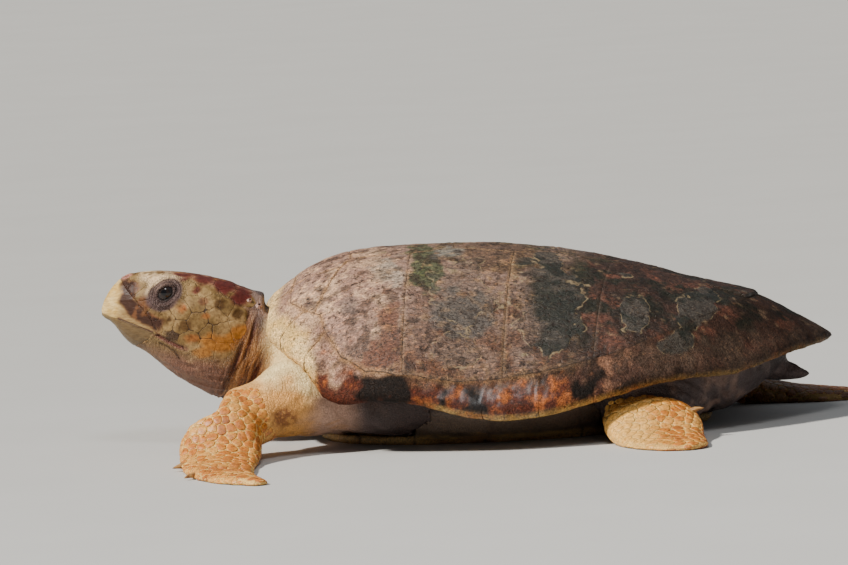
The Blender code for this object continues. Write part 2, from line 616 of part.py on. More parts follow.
def beak_cutter(top):
    """Makes cutters for the upper or the lower half of the beak."""
    edge = BEAK_TOP if top else BEAK_BOTTOM
    step = 1 if top else -1

    def make(grow):
        mouth = [(x, z - step * grow) for x, z in MOUTH]
        mouth[-1] = (MOUTH[-1][0] + 3 * grow, mouth[-1][1])
        back = [(x + grow * 1.5, z + step * grow * 0.5) for x, z in edge]
        return prism("beak_cutter", mouth + back, -0.2, 0.2)

    return make


def eye_ball(name, side, grow=0.0):
    bm = bmesh.new()
    bmesh.ops.create_uvsphere(bm, u_segments=12, v_segments=8, radius=EYE_RADIUS + grow)
    bmesh.ops.rotate(bm, verts=bm.verts, cent=(0, 0, 0), matrix=Matrix.Rotation(math.pi / 2, 3, "X"))
    bmesh.ops.translate(bm, verts=bm.verts, vec=(EYE[0], side * EYE[1], EYE[2]))
    return object_of(name, bm)


def head():
    """The head with its two jaws' horny beaks parted from it, and its eyes in their sockets."""
    whole = loft("head", head_rings())
    head_part = boolean(whole, head_cutter(0.0), "INTERSECT")
    head_part, _ = carve(head_part, beak_cutter(True), "beak_upper")
    head_part, _ = carve(head_part, beak_cutter(False), "beak_lower")
    for word, side in (("left", LEFT), ("right", RIGHT)):
        head_part = boolean(head_part, eye_ball("socket", side, GAP), "DIFFERENCE")
        eye_ball(f"eye_{word}", side)


def region(low, high):
    """Makes box cutters for a region of the flesh."""
    return lambda grow: box("region", low, high, grow)


def simplified(obj, angle=1.0):
    """The same solid with the needless edges of its nearly flat faces dissolved."""
    bm = bmesh.new()
    bm.from_mesh(obj.data)
    bmesh.ops.dissolve_limit(bm, angle_limit=math.radians(angle), verts=bm.verts, edges=bm.edges)
    bmesh.ops.triangulate(bm, faces=bm.faces)
    if all(edge.is_manifold for edge in bm.edges):
        bm.to_mesh(obj.data)
    bm.free()


def parts_of_flesh():
    """The flesh parted into neck, limbs, tail and trunk."""
    body = boolean(flesh(), head_cutter(GAP), "DIFFERENCE")
    body, _ = carve(body, region((-0.9, -0.9, -0.1), (-0.335, -0.150, 0.4)), "front_flipper_left")
    body, _ = carve(body, region((-0.9, 0.150, -0.1), (0.05, 0.9, 0.4)), "front_flipper_right")
    body, _ = carve(body, region((0.05, -0.9, -0.1), (0.60, -0.150, 0.4)), "hind_flipper_left")
    body, _ = carve(body, region((0.20, 0.125, -0.1), (0.80, 0.9, 0.4)), "hind_flipper_right")
    body, _ = carve(body, region((0.335, -0.12, -0.1), (0.60, 0.12, 0.4)), "tail")
    body, _ = carve(body, region((-0.9, -0.149, -0.1), (-0.435, 0.149, 0.4)), "neck")
    body.name = "trunk"


def belly():
    """The plastron with its two bridges up to the rim, one piece of bone and horn."""
    whole = plastron("plastron")
    for side in (LEFT, RIGHT):
        whole = boolean(whole, bridge("bridge", side), "UNION")
    return boolean(whole, rim_cutter(), "DIFFERENCE")


def claw(name, root, towards, length, thick, limb):
    """A curved claw, its root sunk a little into the limb that carries it."""
    run = Vector(towards).normalized()
    rings = []
    for share, size in ((0, 1.0), (0.4, 0.85), (0.75, 0.45), (1.0, 0.08)):
        centre = Vector(root) + run * length * share - Vector((0, 0, length * 0.16 * share**2))
        wide = run.cross(Vector((0, 0, 1))).normalized() * thick * 0.5 * size
        deep = wide.cross(run).normalized() * thick * 0.42 * size
        turns = [2 * math.pi * k / 6 for k in range(6)]
        rings.append([centre + wide * math.cos(a) + deep * math.sin(a) for a in turns])
    made = loft(name, rings)
    grown = duplicate(made, "claw_cut")
    middle = sum((v.co for v in grown.data.vertices), Vector()) / len(grown.data.vertices)
    for v in grown.data.vertices:
        v.co += (v.co - middle).normalized() * GAP * 1.5
    return boolean(limb, grown, "DIFFERENCE")


def claws():
    """Two claws on the leading edge of each front flipper, one on each hind flipper."""
    for name, limb, root, towards, length, thick in CLAWS:
        largest(claw(name, root, towards, length, thick, bpy.data.objects[limb]))


COLOURS = {"nuchal": (0.20, 0.11, 0.07), "vertebral": (0.17, 0.085, 0.05), "costal": (0.18, 0.08, 0.045),
           "marginal": (0.36, 0.16, 0.06), "plastron": (0.62, 0.46, 0.22),
           "beak": (0.62, 0.50, 0.28), "eye": (0.012, 0.010, 0.009), "claw": (0.45, 0.34, 0.18),
           "head": (0.34, 0.19, 0.10), "neck": (0.42, 0.27, 0.16), "trunk": (0.52, 0.36, 0.24),
           "tail": (0.45, 0.30, 0.16), "front": (0.40, 0.20, 0.09), "hind": (0.38, 0.19, 0.08)}
ROUGHNESS = {"eye": 0.08, "beak": 0.45, "claw": 0.4, "marginal": 0.35}


def paint(obj):
    """A material of its own kind of horn or skin for one part."""
    kind = obj.name.split("_")[0]
    material = bpy.data.materials.get(kind)
    if material is None:
        material = bpy.data.materials.new(kind)
        material.use_nodes = True
        shader = material.node_tree.nodes["Principled BSDF"]
        shader.inputs["Base Color"].default_value = (*COLOURS[kind], 1)
        shader.inputs["Roughness"].default_value = ROUGHNESS.get(kind, 0.6)
        shader.inputs["Metallic"].default_value = 0.0
    obj.data.materials.clear()
    obj.data.materials.append(material)


def main():
    for obj in list(bpy.data.objects):
        bpy.data.objects.remove(obj)
    head()
    parts_of_flesh()
    claws()
    belly()
    nuchal()
    vertebrals()
    costals()
    marginals()
    for obj in list(bpy.data.objects):
        if obj.name.split("_")[0] in ("front", "hind", "tail", "neck", "trunk", "plastron"):
            simplified(obj)
        paint(obj)


main()
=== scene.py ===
# %% [markdown]
# # A loggerhead turtle, life size
# The turtle rests on its plastron with the head raised, as a still museum model does. Nothing on it moves.
# It is made in the order in which a model maker would work: the horny shields of the shell, one skin for
# head, neck and limbs, the scales that lie over that skin, then beak, eyes and claws. Colour and light last.

# %% Load the frame
import math

import bmesh
import bpy
import numpy as np
from mathutils import Matrix, Vector
from mathutils.bvhtree import BVHTree
from mathutils.kdtree import KDTree


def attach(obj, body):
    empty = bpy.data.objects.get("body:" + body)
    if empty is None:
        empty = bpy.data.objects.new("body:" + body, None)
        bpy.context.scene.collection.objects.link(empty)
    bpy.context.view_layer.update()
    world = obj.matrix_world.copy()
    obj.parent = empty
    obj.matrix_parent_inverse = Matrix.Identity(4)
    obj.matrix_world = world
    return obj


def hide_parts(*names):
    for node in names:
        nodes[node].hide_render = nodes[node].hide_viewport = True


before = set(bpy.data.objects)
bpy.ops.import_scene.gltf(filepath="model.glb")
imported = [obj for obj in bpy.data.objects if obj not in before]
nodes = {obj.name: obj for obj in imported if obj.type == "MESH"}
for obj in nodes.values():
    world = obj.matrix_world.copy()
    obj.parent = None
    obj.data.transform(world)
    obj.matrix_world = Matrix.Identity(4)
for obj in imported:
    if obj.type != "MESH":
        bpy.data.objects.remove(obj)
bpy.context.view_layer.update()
LEFT, RIGHT = -1, 1


def detail(full):
    return full


print("solids in the frame:", len(nodes))

# %% [markdown]
# ## Irregularity
# Nothing on an old sea turtle is even, so almost every shape and colour below is disturbed by noise.
# Blender's own noise is called once for a point. These work on all points of a mesh at once, and give the
# same answer in every run: soft noise, the same in several sizes, and cells as in a honeycomb.


# %% Noise for whole meshes
def chance(cell, seed):
    """A repeatable number from 0 to 1 for each whole-numbered cell of space."""
    mixed = cell[..., 0] * 73856093 ^ cell[..., 1] * 19349663 ^ cell[..., 2] * 83492791 ^ (seed * 9176 + 77)
    mixed = (mixed ^ (mixed >> 13)) * 1274126177 & 0x7FFFFFFF
    mixed = (mixed ^ (mixed >> 15)) * 668265263 & 0x7FFFFFFF
    return (mixed ^ (mixed >> 14)) / 0x7FFFFFFF


# The noise is made on a lattice, which is turned so that no pattern runs along the animal or across it.
TURN = np.array(Matrix.Rotation(0.9, 3, Vector((0.48, 0.62, 0.62))))


def noise(points, size, seed=0):
    """Soft noise from -1 to 1, its blobs about as large as size."""
    place = points @ TURN / size
    cell = np.floor(place).astype(np.int64)
    share = place - cell
    share = share * share * (3 - 2 * share)
    total = np.zeros(len(points))
    for corner in np.ndindex(2, 2, 2):
        weight = np.prod(np.where(np.array(corner) == 1, share, 1 - share), axis=1)
        total += weight * chance(cell + np.array(corner), seed)
    return total * 2 - 1


def cloud(points, size, seed=0, octaves=3):
    """Noise with finer noise upon it."""
    layers = [noise(points, size / 2**i, seed + 31 * i) / 2**i for i in range(octaves)]
    return sum(layers) / (2 - 2 ** (1 - octaves))


def pores(points, size, seed=0):
    """Distance to the nearest of scattered points, counted in sizes, with that point's own number."""
    place = points / size
    cell = np.floor(place).astype(np.int64)
    near, number = np.full(len(points), 9.0), np.zeros(len(points))
    for shift in np.ndindex(3, 3, 3):
        other = cell + np.array(shift) - 1
        spot = other + np.stack([chance(other, seed + k) for k in (1, 2, 3)], axis=1)
        gap = np.linalg.norm(spot - place, axis=1)
        number = np.where(gap < near, chance(other, seed + 4), number)
        near = np.minimum(near, gap)
    return near, number


def rise(value, low, high):
    """0 below low, 1 above high, and a smooth slope between."""
    share = np.clip((value - low) / (high - low), 0, 1)
    return share * share * (3 - 2 * share)


def span(value, start, risen, falling, end):
    """1 from risen to falling, and 0 before start and after end."""
    return rise(value, start, risen) * (1 - rise(value, falling, end))


def bell(value, middle, width):
    """1 at the middle and near 0 at two widths from it."""
    return np.exp(-(((value - middle) / width) ** 2))


def ridged(points, size, seed):
    """Noise folded over, so that its ridges stand at 1 and its hollows lie at -1."""
    return 1 - 2 * np.abs(noise(points, size, seed))


def blend(first, second, share):
    """Colours or numbers mixed point by point."""
    first, second, share = (np.asarray(value, float) for value in (first, second, share))
    if first.shape[-1:] == (3,) or second.shape[-1:] == (3,):
        share = share[..., None]
    return first + (second - first) * share


# %% [markdown]
# ## The dome
# The carapace is a smooth dome over a heart-shaped outline. These tables are its side view, its half width
# and its rim, in metres, and the shields below are all cut from the one surface, so that they meet.

# %% The dome's lines
RIDGE = [(-0.455, 0.238), (-0.42, 0.264), (-0.38, 0.287), (-0.33, 0.303), (-0.27, 0.3095), (-0.20, 0.3115),
         (-0.10, 0.308), (0.0, 0.296), (0.10, 0.276), (0.20, 0.247), (0.30, 0.216), (0.35, 0.199),
         (0.40, 0.171), (0.466, 0.130)]
RIM = [(-0.468, 0.196), (-0.445, 0.178), (-0.42, 0.158), (-0.40, 0.133), (-0.385, 0.110), (-0.36, 0.100),
       (-0.30, 0.103), (-0.25, 0.098), (-0.20, 0.084), (-0.15, 0.070), (-0.10, 0.063), (-0.04, 0.066),
       (0.04, 0.081), (0.10, 0.093), (0.16, 0.104), (0.24, 0.106), (0.29, 0.104), (0.35, 0.113),
       (0.41, 0.123), (0.466, 0.129)]
HALF_WIDTH = [(-0.468, 0.115), (-0.46, 0.150), (-0.445, 0.188), (-0.42, 0.231), (-0.38, 0.283),
              (-0.33, 0.318), (-0.27, 0.340), (-0.20, 0.352), (-0.12, 0.355), (-0.04, 0.350), (0.04, 0.336),
              (0.12, 0.311), (0.20, 0.272), (0.28, 0.217), (0.35, 0.155), (0.41, 0.090), (0.45, 0.035),
              (0.466, 0.0)]
RIM_SHIELD = [(-0.468, 0.040), (-0.4545, 0.042), (-0.4365, 0.059), (-0.405, 0.041), (-0.355, 0.0236),
              (-0.3235, 0.0175), (-0.28, 0.0165), (-0.21, 0.020), (-0.10, 0.030), (0.10, 0.034),
              (0.20, 0.046), (0.30, 0.066), (0.40, 0.095), (0.466, 0.120)]
RIM_THICK = [(-0.468, 0.026), (-0.40, 0.022), (-0.30, 0.016), (0.20, 0.015), (0.466, 0.011)]
FRONT_MIDDLE, FRONT_CORNER, TAIL_TIP = -0.455, (-0.468, 0.115), 0.466
DOME_POWER = 0.8
SHELL = 0.011
UNDERSIDE = 0.062


def curve(points):
    """A smooth function through (x, value) points that never overshoots them."""
    xs, ys = (np.array(column, float) for column in zip(*points))
    step = np.diff(xs)
    slope = np.diff(ys) / step
    tangent = np.zeros_like(ys)
    tangent[0], tangent[-1] = slope[0], slope[-1]
    for i in range(1, len(xs) - 1):
        if slope[i - 1] * slope[i] > 0:
            before, after = 2 * step[i] + step[i - 1], step[i] + 2 * step[i - 1]
            tangent[i] = (before + after) / (before / slope[i - 1] + after / slope[i])

    def value(x):
        x = np.clip(x, xs[0], xs[-1])
        i = np.clip(np.searchsorted(xs, x) - 1, 0, len(xs) - 2)
        t = (x - xs[i]) / step[i]
        start = (2 * t**3 - 3 * t**2 + 1) * ys[i] + (t**3 - 2 * t**2 + t) * step[i] * tangent[i]
        end = (3 * t**2 - 2 * t**3) * ys[i + 1] + (t**3 - t**2) * step[i] * tangent[i + 1]
        return start + end

    return value


ridge, rim, half_width = curve(RIDGE), curve(RIM), curve(HALF_WIDTH)
rim_shield, rim_thick = curve(RIM_SHIELD), curve(RIM_THICK)


def dome(x, y):
    """Height of the shell's outer surface over a point of the plan."""
    across = np.minimum(np.abs(y) / np.maximum(half_width(x), 1e-4), 1.0)
    return rim(x) + (ridge(x) - rim(x)) * (1 - across**2) ** DOME_POWER


def dome_normals(x, y):
    """The directions straight out of the dome."""
    step = 0.002
    y = np.sign(y) * np.minimum(np.abs(y), half_width(x) - 2 * step)
    slope_x = (dome(x + step, y) - dome(x - step, y)) / (2 * step)
    slope_y = (dome(x, y + step) - dome(x, y - step)) / (2 * step)
    out = np.stack([-slope_x, -slope_y, np.ones_like(slope_x)], axis=-1)
    return out / np.linalg.norm(out, axis=-1, keepdims=True)


# %% [markdown]
# ## Where the shields meet
# A loggerhead has a nuchal shield over the neck, five vertebrals down the back, five costals on each flank
# and twelve marginals round each side of the rim. Their seams are straight runs in the plan.

# %% The seams in the plan
VERTEBRAL_SEAMS = [(-0.322, 0.060), (-0.152, 0.050), (0.018, 0.046), (0.186, 0.040)]
VERTEBRAL_CORNERS = [(-0.341, 0.088), (-0.225, 0.072), (-0.055, 0.070), (0.102, 0.062)]
V5_BACK_HALF, NUCHAL_HALF, V1_FRONT_HALF = 0.055, 0.078, 0.060
MARGINAL_SHARES = [0, 0.085, 0.143, 0.238, 0.325, 0.400, 0.475, 0.550, 0.625, 0.705, 0.790, 0.885, 1.0]
COSTAL_FEET = [-0.386, -0.260, -0.097, 0.050]
OUTLINE_POINTS = 240


def half_outline(count):
    """Evenly spaced points round half the rim, from the front middle to the tip over the tail."""
    corner_x, corner_y = FRONT_CORNER
    y = np.linspace(0, corner_y, 30)
    front = np.stack([FRONT_MIDDLE + (corner_x - FRONT_MIDDLE) * (y / corner_y) ** 2, y], axis=1)
    x = corner_x + (TAIL_TIP - corner_x) * (1 - np.cos(np.linspace(0, math.pi, 300))) / 2
    side = np.stack([x, half_width(x)], axis=1)
    line = np.concatenate([front, side[1:]])
    walked = np.concatenate([[0], np.cumsum(np.hypot(*np.diff(line, axis=0).T))])
    wanted = np.linspace(0, walked[-1], count)
    return np.stack([np.interp(wanted, walked, line[:, k]) for k in (0, 1)], axis=1)


OUTLINE = half_outline(OUTLINE_POINTS)
SEAM = OUTLINE * (1 - rim_shield(OUTLINE[:, 0]) / np.hypot(OUTLINE[:, 0], OUTLINE[:, 1]))[:, None]
OUTLINE_STEP = float(np.hypot(*(OUTLINE[1] - OUTLINE[0])))


def place_of(column, value, line=SEAM):
    """The place on a line, counted in its points, where x (0) or y (1) first reaches a value."""
    reached = line[:, column] >= value
    if column == 0:
        reached &= np.arange(len(line)) > np.argmin(line[:, 0])
    return int(np.argmax(reached))


def at(places, line):
    """Points of a line at places between its points."""
    steps = np.arange(len(line))
    return np.stack([np.interp(places, steps, line[:, k]) for k in (0, 1)], axis=-1)


NUCHAL_END = place_of(1, NUCHAL_HALF, OUTLINE)
MARGINAL_ENDS = [NUCHAL_END + (OUTLINE_POINTS - 1 - NUCHAL_END) * share for share in MARGINAL_SHARES]
TURNS = list(np.linspace(0, NUCHAL_END, 4, endpoint=False))
TURNS += [(a * (2 - i) + b * i) / 2 for a, b in zip(MARGINAL_ENDS, MARGINAL_ENDS[1:]) for i in (0, 1)]
TURNS.append(MARGINAL_ENDS[-1])
V5_BACK = OUTLINE_POINTS - int(np.argmax(SEAM[::-1, 1] >= V5_BACK_HALF)) - 1
TURN_POINTS = at(np.array(TURNS), SEAM)


def seam_at(places):
    """Points of the rim's inner seam, which runs straight from turn to turn."""
    return np.stack([np.interp(places, TURNS, TURN_POINTS[:, k]) for k in (0, 1)], axis=-1)


def seam_run(first, last):
    """The rim's inner seam from one place to another, with the turns between them."""
    low, high = min(first, last), max(first, last)
    run = [low] + [turn for turn in TURNS if low + 0.5 < turn < high - 0.5] + [high]
    run = [tuple(seam_at(place)) for place in run]
    return run if first < last else run[::-1]


def mirrored(points):
    return [(x, -y) for x, y in reversed(points)]


def vertebral_plans():
    """The outlines of the five shields down the middle."""
    front = seam_run(0, place_of(1, V1_FRONT_HALF))
    plans = [front[1:] + [VERTEBRAL_CORNERS[0], VERTEBRAL_SEAMS[0]]]
    plans[0] = plans[0] + mirrored(plans[0]) + [front[0]]
    for i in range(3):
        right = [VERTEBRAL_SEAMS[i], VERTEBRAL_CORNERS[i + 1], VERTEBRAL_SEAMS[i + 1]]
        plans.append(right + mirrored(right))
    back = [VERTEBRAL_SEAMS[3]] + seam_run(V5_BACK, TURNS[-1])
    plans.append(back + mirrored(back[:-1]))
    return plans


def costal_plans():
    """The outlines of the five shields on the right flank."""
    feet = [place_of(1, V1_FRONT_HALF)] + [place_of(0, x) for x in COSTAL_FEET] + [V5_BACK]
    heads = [[VERTEBRAL_CORNERS[0]]]
    heads += [[VERTEBRAL_CORNERS[i], VERTEBRAL_SEAMS[i], VERTEBRAL_CORNERS[i + 1]] for i in range(3)]
    heads.append([VERTEBRAL_CORNERS[3], VERTEBRAL_SEAMS[3]])
    return [inner + seam_run(feet[i + 1], feet[i]) for i, inner in enumerate(heads)]


print("places where the rim's seam turns:", len(TURNS))

# %% [markdown]
# ## The worn surface of the horn
# Seen close, the horn is never smooth. Low swells follow the bone, faint rings mark its growth, thin
# layers have flaked off and left islands with a sharp edge, and small pits are left where barnacles sat.
# All of it is worked into the mesh as heights of a few tenths of a millimetre.

# %% Relief of the shell
# Islands of old horn on the left flank: x, z, half length, half height.
FLAKES = [(-0.016, 0.215, 0.058, 0.074), (0.127, 0.196, 0.024, 0.033), (0.236, 0.196, 0.034, 0.022),
          (-0.150, 0.245, 0.050, 0.042), (-0.165, 0.165, 0.034, 0.028), (0.190, 0.150, 0.026, 0.014)]
SEAM_DEPTH, SEAM_WIDE = 0.0007, 0.0028
FLAKE_RISE, PIT_DEPTH, SWELL = 0.0008, 0.0014, 0.0018
FAR = 0.5  # a distance to any seam that counts as none


def flaking(points):
    """Over 0.5 on the islands of old horn. The left flank's islands are listed, others come from noise."""
    warp = cloud(points, 0.026, 5, 5) * 0.62 + noise(points, 0.05, 6) * 0.22
    field = cloud(points, 0.075, 8, 5) * 0.9 - 0.06
    for x, z, wide, tall in FLAKES:
        away = np.hypot((points[:, 0] - x) / wide, (points[:, 2] - z) / tall) + warp
        island = np.where(points[:, 1] < 0, 1.5 - away, -1)
        field = np.maximum(field, island)
    return field


def pits(points):
    """How deep each point lies in a pit, from 0 to 1. Only some cells hold one."""
    near, number = pores(points, 0.019, 40)
    wide = 0.06 + 0.16 * ((number * 7) % 1)
    small_near, small_number = pores(points, 0.0085, 50)
    small = (1 - rise(small_near, 0.12, 0.30)) * (small_number > 0.60) * 0.6
    return np.maximum((1 - rise(near, wide * 0.5, wide * 1.15)) * (number > 0.48), small)


def relief(points, seam):
    """Height of the worn surface over the plain dome, in metres."""
    height = -SEAM_DEPTH * (1 - rise(seam, 0.0, SEAM_WIDE))
    height += 0.0004 * bell(seam, 0.0045, 0.0022) * rise(noise(points, 0.018, 15), -0.6, 0.3)
    height += SWELL * (cloud(points, 0.085, 11, 2) - 0.15)
    rough = 0.55 + 0.45 * rise(points[:, 0], -0.05, 0.10)
    rough *= 1 - 0.55 * rise(flaking(points), 0.45, 0.55)
    height += rough * (0.0019 * cloud(points, 0.018, 12, 3) + 0.0004 * ridged(points, 0.009, 14))
    rings = np.sin((seam + 0.004 * noise(points, 0.03, 13)) * 2 * math.pi / 0.0085)
    height += 0.00012 * rings * rise(seam, 0.008, 0.016) * (seam < FAR / 2)
    height += FLAKE_RISE * rise(flaking(points), 0.45, 0.55)
    return height - PIT_DEPTH * pits(points)


# %% [markdown]
# ## Colours of the shell
# The front of this shell is a dusty mauve grey, the middle rust brown and mottled, the back a dark red
# brown with green and black growth. The rim is wetter and more orange, and yellow under its edge. Painted
# light and shade lie over this: the horn is lighter at the front and darker towards the back, and part of the
# rim's side is nearly black with painted shadow. The colour is kept on the mesh as an attribute, one value
# for each point, and the finish adds what is finer.

# %% Colours of the shell
RIM_CREAM, SEAM_TAN = (0.82, 0.60, 0.29), (0.33, 0.19, 0.085)
MAUVE, DUSTY = (0.30, 0.185, 0.143), (0.52, 0.350, 0.235)
RUST, TAN = (0.165, 0.064, 0.028), (0.46, 0.265, 0.110)
WORN_HORN, DEEP_HORN = (0.092, 0.084, 0.072), (0.026, 0.036, 0.029)
RED_BROWN, GREEN_BLACK, BRICK = (0.085, 0.032, 0.019), (0.022, 0.026, 0.014), (0.22, 0.055, 0.022)
ALGAE, EARTH = (0.055, 0.088, 0.032), (0.036, 0.020, 0.013)
LOW_BROWN = (0.20, 0.105, 0.065)
RIM_ORANGE, RIM_WINE = (0.34, 0.105, 0.028), (0.085, 0.024, 0.014)
RIM_YELLOW, RIM_SHADOW_BLACK = (0.55, 0.36, 0.11), (0.010, 0.007, 0.006)
GREY_GREEN, MAUVE_PINK, RUST_BROWN = (0.131, 0.122, 0.115), (0.30, 0.180, 0.130), (0.150, 0.062, 0.038)
# Patches of the left flank: x, z, half length, half height, colour, strength.
PATCHES = [(-0.141, 0.150, 0.062, 0.028, MAUVE_PINK, 0.85), (-0.2895, 0.155, 0.046, 0.024, RUST_BROWN, 0.95),
           (-0.273, 0.200, 0.023, 0.055, RUST_BROWN, 0.85),
           (-0.268, 0.283, 0.030, 0.020, (0.37, 0.31, 0.25), 0.8),
           (-0.215, 0.206, 0.027, 0.060, (0.175, 0.100, 0.075), 0.8),
           (-0.150, 0.216, 0.048, 0.040, GREY_GREEN, 0.85),
           (-0.073, 0.293, 0.070, 0.022, (0.165, 0.095, 0.058), 0.85),
           (-0.205, 0.290, 0.024, 0.040, ALGAE, 0.85),
           (-0.163, 0.302, 0.024, 0.010, (0.22, 0.225, 0.205), 0.85),
           (-0.335, 0.235, 0.017, 0.016, (0.13, 0.10, 0.09), 0.6),
           (-0.408, 0.205, 0.030, 0.040, DUSTY, 0.7), (-0.372, 0.190, 0.018, 0.010, EARTH, 0.5)]
# Painted light and shade along the shell, as how much of its colour the horn keeps at each x; and how
# strongly the seams show there.
SHELL_LIGHT_AND_SHADE = [(-0.42, 1.09), (-0.32, 1.04), (-0.24, 0.98), (-0.18, 0.82), (0.0, 0.67), (0.20, 0.68),
              (0.34, 0.54), (0.45, 0.40)]
SEAM_SHOWN = [(-0.40, 0.65), (-0.30, 0.60), (-0.26, 0.45), (-0.12, 0.50), (-0.06, 0.80), (0.02, 0.30),
              (0.10, 0.12)]


def along(x, table):
    """The value at x of a table of (x, value) pairs."""
    return np.interp(x, *zip(*table))


def shell_colour(points, seam):
    """The horn's colour over the dome, from front to back."""
    x, z = points[:, 0], points[:, 2]
    big, mid, small = cloud(points, 0.11, 61), cloud(points, 0.035, 62, 4), cloud(points, 0.011, 63)
    mottle = cloud(points, 0.020, 64, 5)
    front = blend(MAUVE, DUSTY, rise(mid + small * 0.6, -0.15, 0.50))
    front = blend(front, EARTH, rise(mottle, 0.16, 0.34) * 0.70)
    low = rise(0.185 - z + 0.05 * big, -0.03, 0.03) * rise(x, -0.36, -0.31)
    rusty = np.maximum(rise(mid + small * 0.5, -0.10, 0.35), low * rise(mid, -0.55, 0.0))
    middle = blend(blend(MAUVE, DUSTY, rise(small + mid, 0.0, 0.6) * 0.6), RUST, rusty * 0.92)
    middle = blend(middle, TAN, rise(cloud(points, 0.017, 69, 4), 0.16, 0.45) * 0.62)
    rear = blend(RED_BROWN, GREEN_BLACK, rise(mid + 0.3 * big, -0.08, 0.16) * 0.95)
    rear = blend(rear, BRICK, rise(cloud(points, 0.026, 66, 5), 0.06, 0.34) * 0.80)
    rear = blend(rear, EARTH, rise(mottle, 0.02, 0.25) * 0.75)
    rear = blend(rear, TAN, rise(cloud(points, 0.011, 67, 3), 0.30, 0.6) * 0.42)
    colour = blend(front, middle, rise(x + 0.07 * big + 0.35 * (0.20 - z), -0.31, -0.22))
    colour = blend(colour, rear, rise(x + 0.07 * big, -0.02, 0.08))
    green = span(x, -0.25, -0.2, 0.0, 0.25) * rise(z + 0.03 * mid, 0.258, 0.296)
    colour = blend(colour, ALGAE, green * rise(mid, -0.1, 0.4) * 0.6)
    torn = 0.85 * cloud(points, 0.022, 76, 5) + 0.30 * mid
    for px, pz, long, high, tone, strength in PATCHES:
        away = np.hypot((x - px) / long, (z - pz) / high) + torn
        colour = blend(colour, tone, (1 - rise(away, 0.70, 1.15)) * strength * (points[:, 1] < 0))
    centre = span(x, -0.31, -0.25, 0.0, 0.08)
    colour = blend(colour, EARTH, rise(cloud(points, 0.020, 65, 5), 0.10, 0.34) * 0.70 * centre)
    colour = blend(colour, TAN, rise(cloud(points, 0.013, 77, 4), 0.20, 0.45) * 0.35 * centre)
    low_rear = rise(x, 0.02, 0.10) * (1 - rise(z - along(x, [(0.05, 0.155), (0.35, 0.150)]), -0.015, 0.02))
    colour = blend(colour, LOW_BROWN, low_rear * rise(mid, -0.5, 0.3) * 0.75)
    old = rise(flaking(points), 0.45, 0.52) * blend(0.30, 0.93, rise(x + 0.03 * mid, -0.065, -0.015))
    horny = blend(WORN_HORN, DEEP_HORN, rise(mid + 0.5 * small + 0.4 * big, -0.15, 0.35))
    colour = blend(colour, horny, old)
    colour = blend(colour, EARTH, pits(points) * 0.9)
    band = 1 - rise(seam + 0.0020 * small + 0.0010 * mid, 0.0018, 0.0055)
    fade = along(x, SEAM_SHOWN) * rise(small + mid, -0.75, 0.05)
    colour = blend(colour, blend(SEAM_TAN, RUST, rise(x, 0.0, 0.12) * 0.6), band * fade)
    low_flank = (1 - rise(z, 0.19, 0.25)) * span(x, -0.36, -0.30, 0.0, 0.1)
    faded = along(x, [(-0.30, 0.0), (-0.24, 0.18), (-0.04, 0.22), (0.04, 0.40)])
    colour = blend(colour, colour.mean(axis=1)[:, None] * (1.08, 1.0, 0.92), faded)
    # painted light and shade along x make the horn lighter at the front and darker towards the back; it is
    # also darker low on the flank
    return colour * (along(x, SHELL_LIGHT_AND_SHADE) * blend(1.0, 0.80, low_flank))[:, None]


# How much painted shadow darkens the rim at each x, where its side lies in shade over the dark wine horn,
# and how far down its wet colours start.
RIM_SHADE_AT_X = [(-0.36, 0.15), (-0.33, 0.70), (-0.29, 0.95), (-0.24, 0.90), (-0.20, 0.40), (-0.05, 0.20),
            (0.05, 0.40)]
WET_FROM = [(-0.40, 0.30), (-0.36, 0.20), (-0.32, 0.08), (-0.24, 0.10), (-0.18, 0.18), (0.0, 0.20)]


def rim_colour(points, seam, down):
    """The rim's colour. down is 0 on top, 1 at the edge's lowest and further round 2 underneath."""
    x = points[:, 0]
    big, mid, small = cloud(points, 0.09, 71), cloud(points, 0.03, 72, 4), cloud(points, 0.010, 73)
    orange = rise(mid + 0.6 * small, 0.05, 0.45) * blend(0.75, 1.0, rise(x, -0.24, -0.18))
    wet = blend(RIM_WINE, RIM_ORANGE, orange)
    # painted shadow: where the rim's side lies in shade it is made nearly black over its wine and orange horn
    wet = blend(wet, RIM_SHADOW_BLACK, rise(1.4 * cloud(points, 0.04, 74, 4) + along(x, RIM_SHADE_AT_X) - 0.45, 0.0, 0.30))
    wet = blend(wet, wet.mean(axis=1)[:, None] * (1.15, 1.0, 0.85), rise(x, -0.02, 0.08) * 0.55)
    reach = span(x, -0.42, -0.39, 0.06, 0.20)
    start = down + 0.30 * mid + 0.10 * small - along(x, WET_FROM)
    colour = blend(shell_colour(points, seam), wet, reach * rise(start, -0.08, 0.10))
    yellow = blend(RIM_YELLOW, RIM_ORANGE, rise(mid + 0.4 * small, -0.1, 0.5) * 0.7)
    edge = rise(down + 0.20 * mid, 0.70, 0.98) * rise(x + 0.03 * big, -0.24, -0.19)
    colour = blend(colour, yellow, edge * blend(0.85, 0.35, rise(x, 0.0, 0.12)))
    cream = blend(RIM_CREAM, RIM_YELLOW, rise(mid, -0.1, 0.5) * 0.7)
    front = rise(down + 0.10 * mid, 0.13, 0.34) * (1 - rise(x + 0.01 * big, -0.402, -0.385))
    return blend(colour, cream, front)


# %% [markdown]
# ## Making a shield
# A shield is a thick horny plate. It starts as a flat grid, is trimmed to its plan by cutting planes,
# thickened by an extrusion and then lifted on to the dome. Where a plan turns inwards, as beside the neck,
# a cutting plane would take too much, and there the grid's border is moved on to the plan instead.

# %% Shields of the back and the flanks
MESH_X, MESH_Y = detail((0.0024, 0.0020))
SEAM_INSET = 0.00008
SHARP = 40  # degrees between two faces from which an edge is left sharp
TURNED_IN = 0.0002  # a side that leaves more than this of its plan outside can't be made by one straight cut


